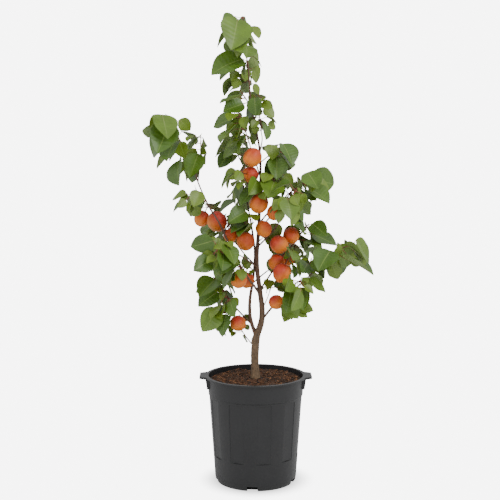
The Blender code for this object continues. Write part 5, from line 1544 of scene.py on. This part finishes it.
# %% Lugs
def lug_plate(sign, collection):
    """A lug's plate: a flat outline with round corners, extruded to its thickness."""
    corner = 4 * MM
    inner = COLLAR_TOP_RADIUS - 0.7 * MM
    root_x = math.sqrt(RIM_RADIUS**2 - LUG_BASE_HALF**2)
    points = [(inner, -LUG_BASE_HALF * 0.6), (root_x - 1 * MM, -LUG_BASE_HALF)]
    for k in range(5):
        angle = math.radians(-75 + 75 * k / 4)
        across = -LUG_END_HALF + corner * math.sin(angle)
        points.append((LUG_REACH - corner + corner * math.cos(angle), across))
    points += [(x, -y) for x, y in reversed(points)]
    curve = bpy.data.curves.new("lug_outline", "CURVE")
    curve.dimensions = "2D"
    curve.fill_mode = "BOTH"
    curve.extrude = LUG_THICKNESS / 2
    line = curve.splines.new("POLY")
    line.points.add(len(points) - 1)
    line.use_cyclic_u = True
    for knot, (x, y) in zip(line.points, points):
        knot.co = (x * sign, y * sign, 0.0, 1.0)
    guide = bpy.data.objects.new("lug_guide", curve)
    guide.location = (0, 0, POT_HEIGHT - LUG_THICKNESS / 2 - 0.2 * MM)
    collection.objects.link(guide)
    mesh = evaluated_mesh(guide)
    mesh.transform(guide.matrix_world)
    bpy.data.objects.remove(guide, do_unlink=True)
    weld(mesh)
    return link("lug_plate", mesh, collection)


def lug_web(sign, sideways, collection):
    """A web under a lug: a block whose outer face leans in towards its foot."""
    top = POT_HEIGHT - LUG_THICKNESS + 1 * MM
    wall_x = math.sqrt(COLLAR_TOP_RADIUS**2 - WEB_SPREAD**2)
    inner = wall_x - 1.6 * MM
    outer = wall_x + WEB_TOP_DEPTH
    web = box(
        "lug_web", (outer - inner, WEB_THICKNESS, WEB_HEIGHT),
        ((outer + inner) / 2, sideways, top - WEB_HEIGHT / 2), collection,
    )
    for v in web.data.vertices:
        if v.co.x > wall_x and v.co.z < top - WEB_HEIGHT / 2:
            v.co.x = wall_x + WEB_FOOT_DEPTH
    for v in web.data.vertices:
        v.co.x, v.co.y = v.co.x * sign, v.co.y * sign


pot_collection = bpy.data.collections.new("pot")
extras = bpy.data.collections.new("pot_extras")
cutters = bpy.data.collections.new("pot_cutters")
for group in (pot_collection, extras, cutters):
    bpy.context.scene.collection.children.link(group)
for sign in (1, -1):
    lug_plate(sign, extras)
    for sideways in (-WEB_SPREAD, WEB_SPREAD):
        lug_web(sign, sideways, extras)

# %% [markdown]
# Ten flat panels are cut a little into the side, so that wide ribs stay between them, and five slots at
# the foot let water out.

# %% Flutes and slots
CUTTER_DEPTH = 0.03


def add_flutes():
    """A cutter for each flat panel, leaning with the side."""
    panel = 2 * math.pi / (2 * FLUTES)
    for k in range(FLUTES):
        turn = -math.pi / 2 + FLUTE_TURN + panel * (2 * k + 0.5)
        middle = (FLUTE_BOTTOM + FLUTE_TOP) / 2
        chord = math.cos(panel / 2)
        lean = (body_radius(FLUTE_TOP) - body_radius(FLUTE_BOTTOM)) * chord
        block = box(
            f"flute_cutter_{k}",
            (CUTTER_DEPTH, 2 * body_radius(middle) * math.sin(panel / 2), FLUTE_TOP - FLUTE_BOTTOM),
            (body_radius(FLUTE_BOTTOM) * chord - FLUTE_DEPTH + CUTTER_DEPTH / 2, 0.0, middle), cutters,
        )
        for v in block.data.vertices:
            if v.co.z > middle:
                v.co.x += lean
            x, y = v.co.x, v.co.y
            v.co.x = x * math.cos(turn) - y * math.sin(turn)
            v.co.y = x * math.sin(turn) + y * math.cos(turn)


def add_slots():
    """A cutter for each drain slot, longer than the wall that it cuts."""
    for k in range(SLOTS):
        turn = -math.pi / 2 + SLOT_TURN + 2 * math.pi * k / SLOTS
        depth = SLOT_REACH + 0.012
        box(
            f"slot_cutter_{k}", (depth, SLOT_WIDTH, SLOT_HEIGHT + 0.002),
            (FOOT_RADIUS - SLOT_REACH + depth / 2, 0.0, SLOT_HEIGHT / 2 - 0.001), cutters, turn,
        )


fine_pot = turned("moulded_pot", pot_profile(), pot_collection)
boolean(fine_pot, extras, "UNION")
add_flutes()
add_slots()
boolean(fine_pot, cutters, "DIFFERENCE")
fine_pot.data.materials.clear()
fine_pot.data.materials.append(pot_material)
edge = fine_pot.modifiers.new("edges", "BEVEL")
edge.width = 0.35 * MM
edge.segments = 2
edge.limit_method = "ANGLE"
edge.angle_limit = math.radians(40)
fine_pot.data.shade_smooth()
fine_pot.data.set_sharp_from_angle(angle=math.radians(32))
dress(fine_pot, ["pot"])
print("pot faces:", len(fine_pot.data.polygons))

# %% [markdown]
# ## Potting mix
#
# A closed disc with a lumpy top, which chips and fibres of bark then cover.

# %% Mix bed
MIX_RADIUS = MOUTH_RADIUS - 1.6 * MM
MIX_FOOT = POT_HEIGHT - 24 * MM
MIX_SINK = 0.4 * MM
LUMP = 0.55 * MM
LUMP_WAVES = 22
MIX_RINGS = 60
MIX_SPOKES = 160


def mix_height(x, y):
    """The crown, less its fall to the edge by the square of the radius, plus sines of random heading."""
    rng = np.random.default_rng(900)
    r = np.hypot(x, y)
    lumps = np.zeros_like(r)
    for _ in range(LUMP_WAVES):
        a, f, p = rng.uniform(0, 2 * np.pi), rng.uniform(80, 420), rng.uniform(0, 2 * np.pi)
        lumps += np.sin(f * (x * np.cos(a) + y * np.sin(a)) + p) * (90 / f)
    calm = np.clip((r - 0.016) / 0.02, 0.1, 1)
    return MIX_CROWN - MIX_SINK - (MIX_CROWN - MIX_EDGE) * (r / MIX_RADIUS) ** 2 + LUMP * lumps * calm


radius = np.linspace(0, MIX_RADIUS, MIX_RINGS + 1)[1:, None]
turn = (2 * np.pi * np.arange(MIX_SPOKES) / MIX_SPOKES)[None]
x, y = radius * np.cos(turn), radius * np.sin(turn)
top = np.stack([x, y, mix_height(x, y)], -1)
wall = top[-1:].copy()
wall[..., 2] = MIX_FOOT
wall[..., :2] *= 0.985
sheet = np.vstack([top, wall]).reshape(-1, 3)
middle = np.array([[0, 0, mix_height(np.zeros(1), np.zeros(1))[0]], [0, 0, MIX_FOOT]])
stack = Stack()
stack.add(np.vstack([sheet, middle]), *tube_faces(MIX_RINGS + 1, MIX_SPOKES, turned_over=True))
dress(stack.make("mix_bed", [mix_material], 80), ["potting_mix"])

# %% [markdown]
# The chips are small uneven blocks that lie nearly flat at any heading. The fibres are thin bent rods.

# %% Chips and fibres
CHIPS = 1500
FIBRES = 520
TRUNK_SPACE = 17 * MM
FIBRE_SPACE = 16 * MM
CHIP_TILT = 0.32
CHIP_SHARES = (0.36, 0.28, 0.12, 0.24)
stack = Stack()
mix_dice = np.random.default_rng(912)
CUBE = np.array([[a, b, c] for a in (-1, 1) for b in (-1, 1) for c in (-1, 1)], float) / 2
CUBE_FACES = np.array([[0, 1, 3, 2], [4, 6, 7, 5], [0, 4, 5, 1], [2, 3, 7, 6], [0, 2, 6, 4], [1, 5, 7, 3]])


def tumbled(rng, steep):
    """A random turn: any heading, and a tilt that is mostly small."""
    heading, tilt, roll = rng.uniform(0, 2 * np.pi), rng.normal(0, steep), rng.normal(0, steep)
    ca, sa, cb, sb, cc, sc = (f(v) for v in (heading, tilt, roll) for f in (np.cos, np.sin))
    turn = np.array([[ca, -sa, 0], [sa, ca, 0], [0, 0, 1.0]])
    lean = np.array([[cb, 0, sb], [0, 1, 0], [-sb, 0, cb]])
    side = np.array([[1.0, 0, 0], [0, cc, -sc], [0, sc, cc]])
    return turn @ lean @ side


def mix_place(rng, margin):
    """An even random place on the mix, off the trunk and inside the wall."""
    while True:
        r = (MIX_RADIUS - margin) * math.sqrt(rng.uniform(0.012, 1))
        a = rng.uniform(0, 2 * np.pi)
        if r > TRUNK_SPACE:
            return np.array([r * math.cos(a), r * math.sin(a)])


for _ in range(CHIPS):
    long = mix_dice.uniform(2.5, 11) * MM
    size = np.array([long, long * mix_dice.uniform(0.25, 0.6), mix_dice.uniform(0.8, 2.2) * MM])
    place = mix_place(mix_dice, 7 * MM)
    corners = CUBE * (1 + mix_dice.uniform(-0.28, 0.12, (8, 3)))
    points = (corners * size) @ tumbled(mix_dice, CHIP_TILT).T
    z = float(mix_height(place[:1], place[1:])[0]) + mix_dice.uniform(0.0, 1.6) * MM
    stack.add(points + np.array([*place, z]), CUBE_FACES, slot=int(mix_dice.choice(4, p=CHIP_SHARES)))
for _ in range(FIBRES):
    place = mix_place(mix_dice, 10 * MM)
    length = mix_dice.uniform(8, 26) * MM
    heading, bend = mix_dice.uniform(0, 2 * np.pi), mix_dice.normal(0, 0.8)
    t = np.linspace(-0.5, 0.5, 6)
    x = place[0] + length * t * np.cos(heading + bend * t)
    y = place[1] + length * t * np.sin(heading + bend * t)
    inside = np.hypot(x, y) < MIX_RADIUS - 3 * MM
    if not inside.all() or (np.hypot(x, y) < FIBRE_SPACE).any():
        continue
    z = mix_height(x, y) + (1.1 + 1.2 * np.cos(np.pi * t) * mix_dice.uniform(0, 1)) * MM
    points, quads, caps, _ = sweep(np.stack([x, y, z], 1), np.full(6, mix_dice.uniform(0.25, 0.6) * MM), 5)
    stack.add(points, quads, caps, slot=int(mix_dice.integers(0, 4)))
dress(stack.make("mix_chips", chip_materials, 30), ["potting_mix"])

# %% [markdown]
# ## Light, floor and camera
#
# A pale floor and a white surround, one broad soft light from the upper right, a weaker one from the
# left, and the camera at the photograph's place. The camera sees the floor and the surround as an even
# white, with a painted soft shadow where the floor's glow dims close to the pot, and everything else is lit
# by them as plain surfaces.

# %% Studio
BRIGHT = 7.0
# The floor's glow dims to SHADE near the pot's foot, a painted contact shadow, and rises back to BRIGHT from
# SHADE_FROM to SHADE_TO metres off the axis.
SHADE = 1.5
SHADE_FROM = 0.085
SHADE_TO = 0.150
FLOOR_HALF = 12.0
FLOOR_LEVEL = -0.5 * MM


def seen_bright(tree, plain_shader, output):
    """The camera sees an even glow; everything else is lit by the plain shader. Returns the glow."""
    ray = tree.nodes.new("ShaderNodeLightPath")
    glow = tree.nodes.new("ShaderNodeEmission" if output == "OUTPUT_MATERIAL" else "ShaderNodeBackground")
    set_inputs(glow, Color=(1, 1, 1, 1), Strength=BRIGHT)
    mix = tree.nodes.new("ShaderNodeMixShader")
    target = next(node for node in tree.nodes if node.type == output)
    link_nodes(
        tree,
        (ray.outputs["Is Camera Ray"], mix.inputs[0]),
        (plain_shader, mix.inputs[1]),
        (glow.outputs[0], mix.inputs[2]),
        (mix.outputs[0], target.inputs["Surface"]),
    )
    return glow


floor_material, floor_tree, floor_surface = shader("pale_floor", 0.9)
set_inputs(floor_surface, Base_Color=(0.93, 0.93, 0.93, 1))
place = floor_tree.nodes.new("ShaderNodeTexCoord")
reach = floor_tree.nodes.new("ShaderNodeVectorMath")
reach.operation = "LENGTH"
# A painted soft shadow: the glow that the camera sees on the floor dims near the pot's foot.
painted_shadow_ramp = floor_tree.nodes.new("ShaderNodeMapRange")
painted_shadow_ramp.interpolation_type = "SMOOTHSTEP"
set_inputs(painted_shadow_ramp, From_Min=SHADE_FROM, From_Max=SHADE_TO, To_Min=SHADE, To_Max=BRIGHT)
floor_glow = seen_bright(floor_tree, floor_surface.outputs["BSDF"], "OUTPUT_MATERIAL")
link_nodes(
    floor_tree,
    (place.outputs["Object"], reach.inputs[0]),
    (reach.outputs["Value"], painted_shadow_ramp.inputs["Value"]),
    (painted_shadow_ramp.outputs["Result"], floor_glow.inputs["Strength"]),
)
floor_mesh = bpy.data.meshes.new("floor")
floor_corners = [
    (x * FLOOR_HALF, y * FLOOR_HALF, FLOOR_LEVEL) for x, y in ((-1, -1), (1, -1), (1, 1), (-1, 1))]
floor_mesh.from_pydata(floor_corners, [], [(0, 1, 2, 3)])
floor_mesh.materials.append(floor_material)
floor = bpy.data.objects.new("floor", floor_mesh)
bpy.context.scene.collection.objects.link(floor)

world = bpy.data.worlds.new("studio")
world.use_nodes = True
surround = world.node_tree.nodes["Background"]
set_inputs(surround, Color=(1, 1, 1, 1), Strength=0.95)
bpy.context.scene.world = world
seen_bright(world.node_tree, surround.outputs[0], "OUTPUT_WORLD")
print("floor and surround: glow", BRIGHT)

# %% [markdown]
# The lights are square areas, so shadows are soft. The camera's place, pitch and lens are matched to
# the photograph.

# %% Lights and camera
def soft_light(name, place, target, size, power):
    """A square area light that faces its target."""
    lamp = bpy.data.lights.new(name, "AREA")
    lamp.size = size
    lamp.energy = power
    item = bpy.data.objects.new(name, lamp)
    item.location = place
    item.rotation_euler = (Vector(target) - Vector(place)).to_track_quat("-Z", "Y").to_euler()
    bpy.context.scene.collection.objects.link(item)


soft_light("key", (1.9, -1.9, 2.6), (0, 0, 0.7), 1.4, 66)
soft_light("fill", (-2.2, -1.6, 1.6), (0, 0, 0.6), 1.8, 18)

CAMERA_PLACE = (-0.0137, -2.4, 0.807)
CAMERA_PITCH = 0.1034
CAMERA_LENS = 73.17
camera = bpy.data.cameras.new("camera")
camera.lens = CAMERA_LENS
camera.sensor_width = 36.0
camera.clip_start = 0.05
eye = bpy.data.objects.new("camera", camera)
eye.location = CAMERA_PLACE
eye.rotation_euler = (math.pi / 2 - CAMERA_PITCH, 0, 0)
bpy.context.scene.collection.objects.link(eye)
bpy.context.scene.camera = eye
print("camera at", CAMERA_PLACE, "lens", CAMERA_LENS)

# %% [markdown]
# The view layer is updated once more.

# %% Last update
bpy.context.view_layer.update()
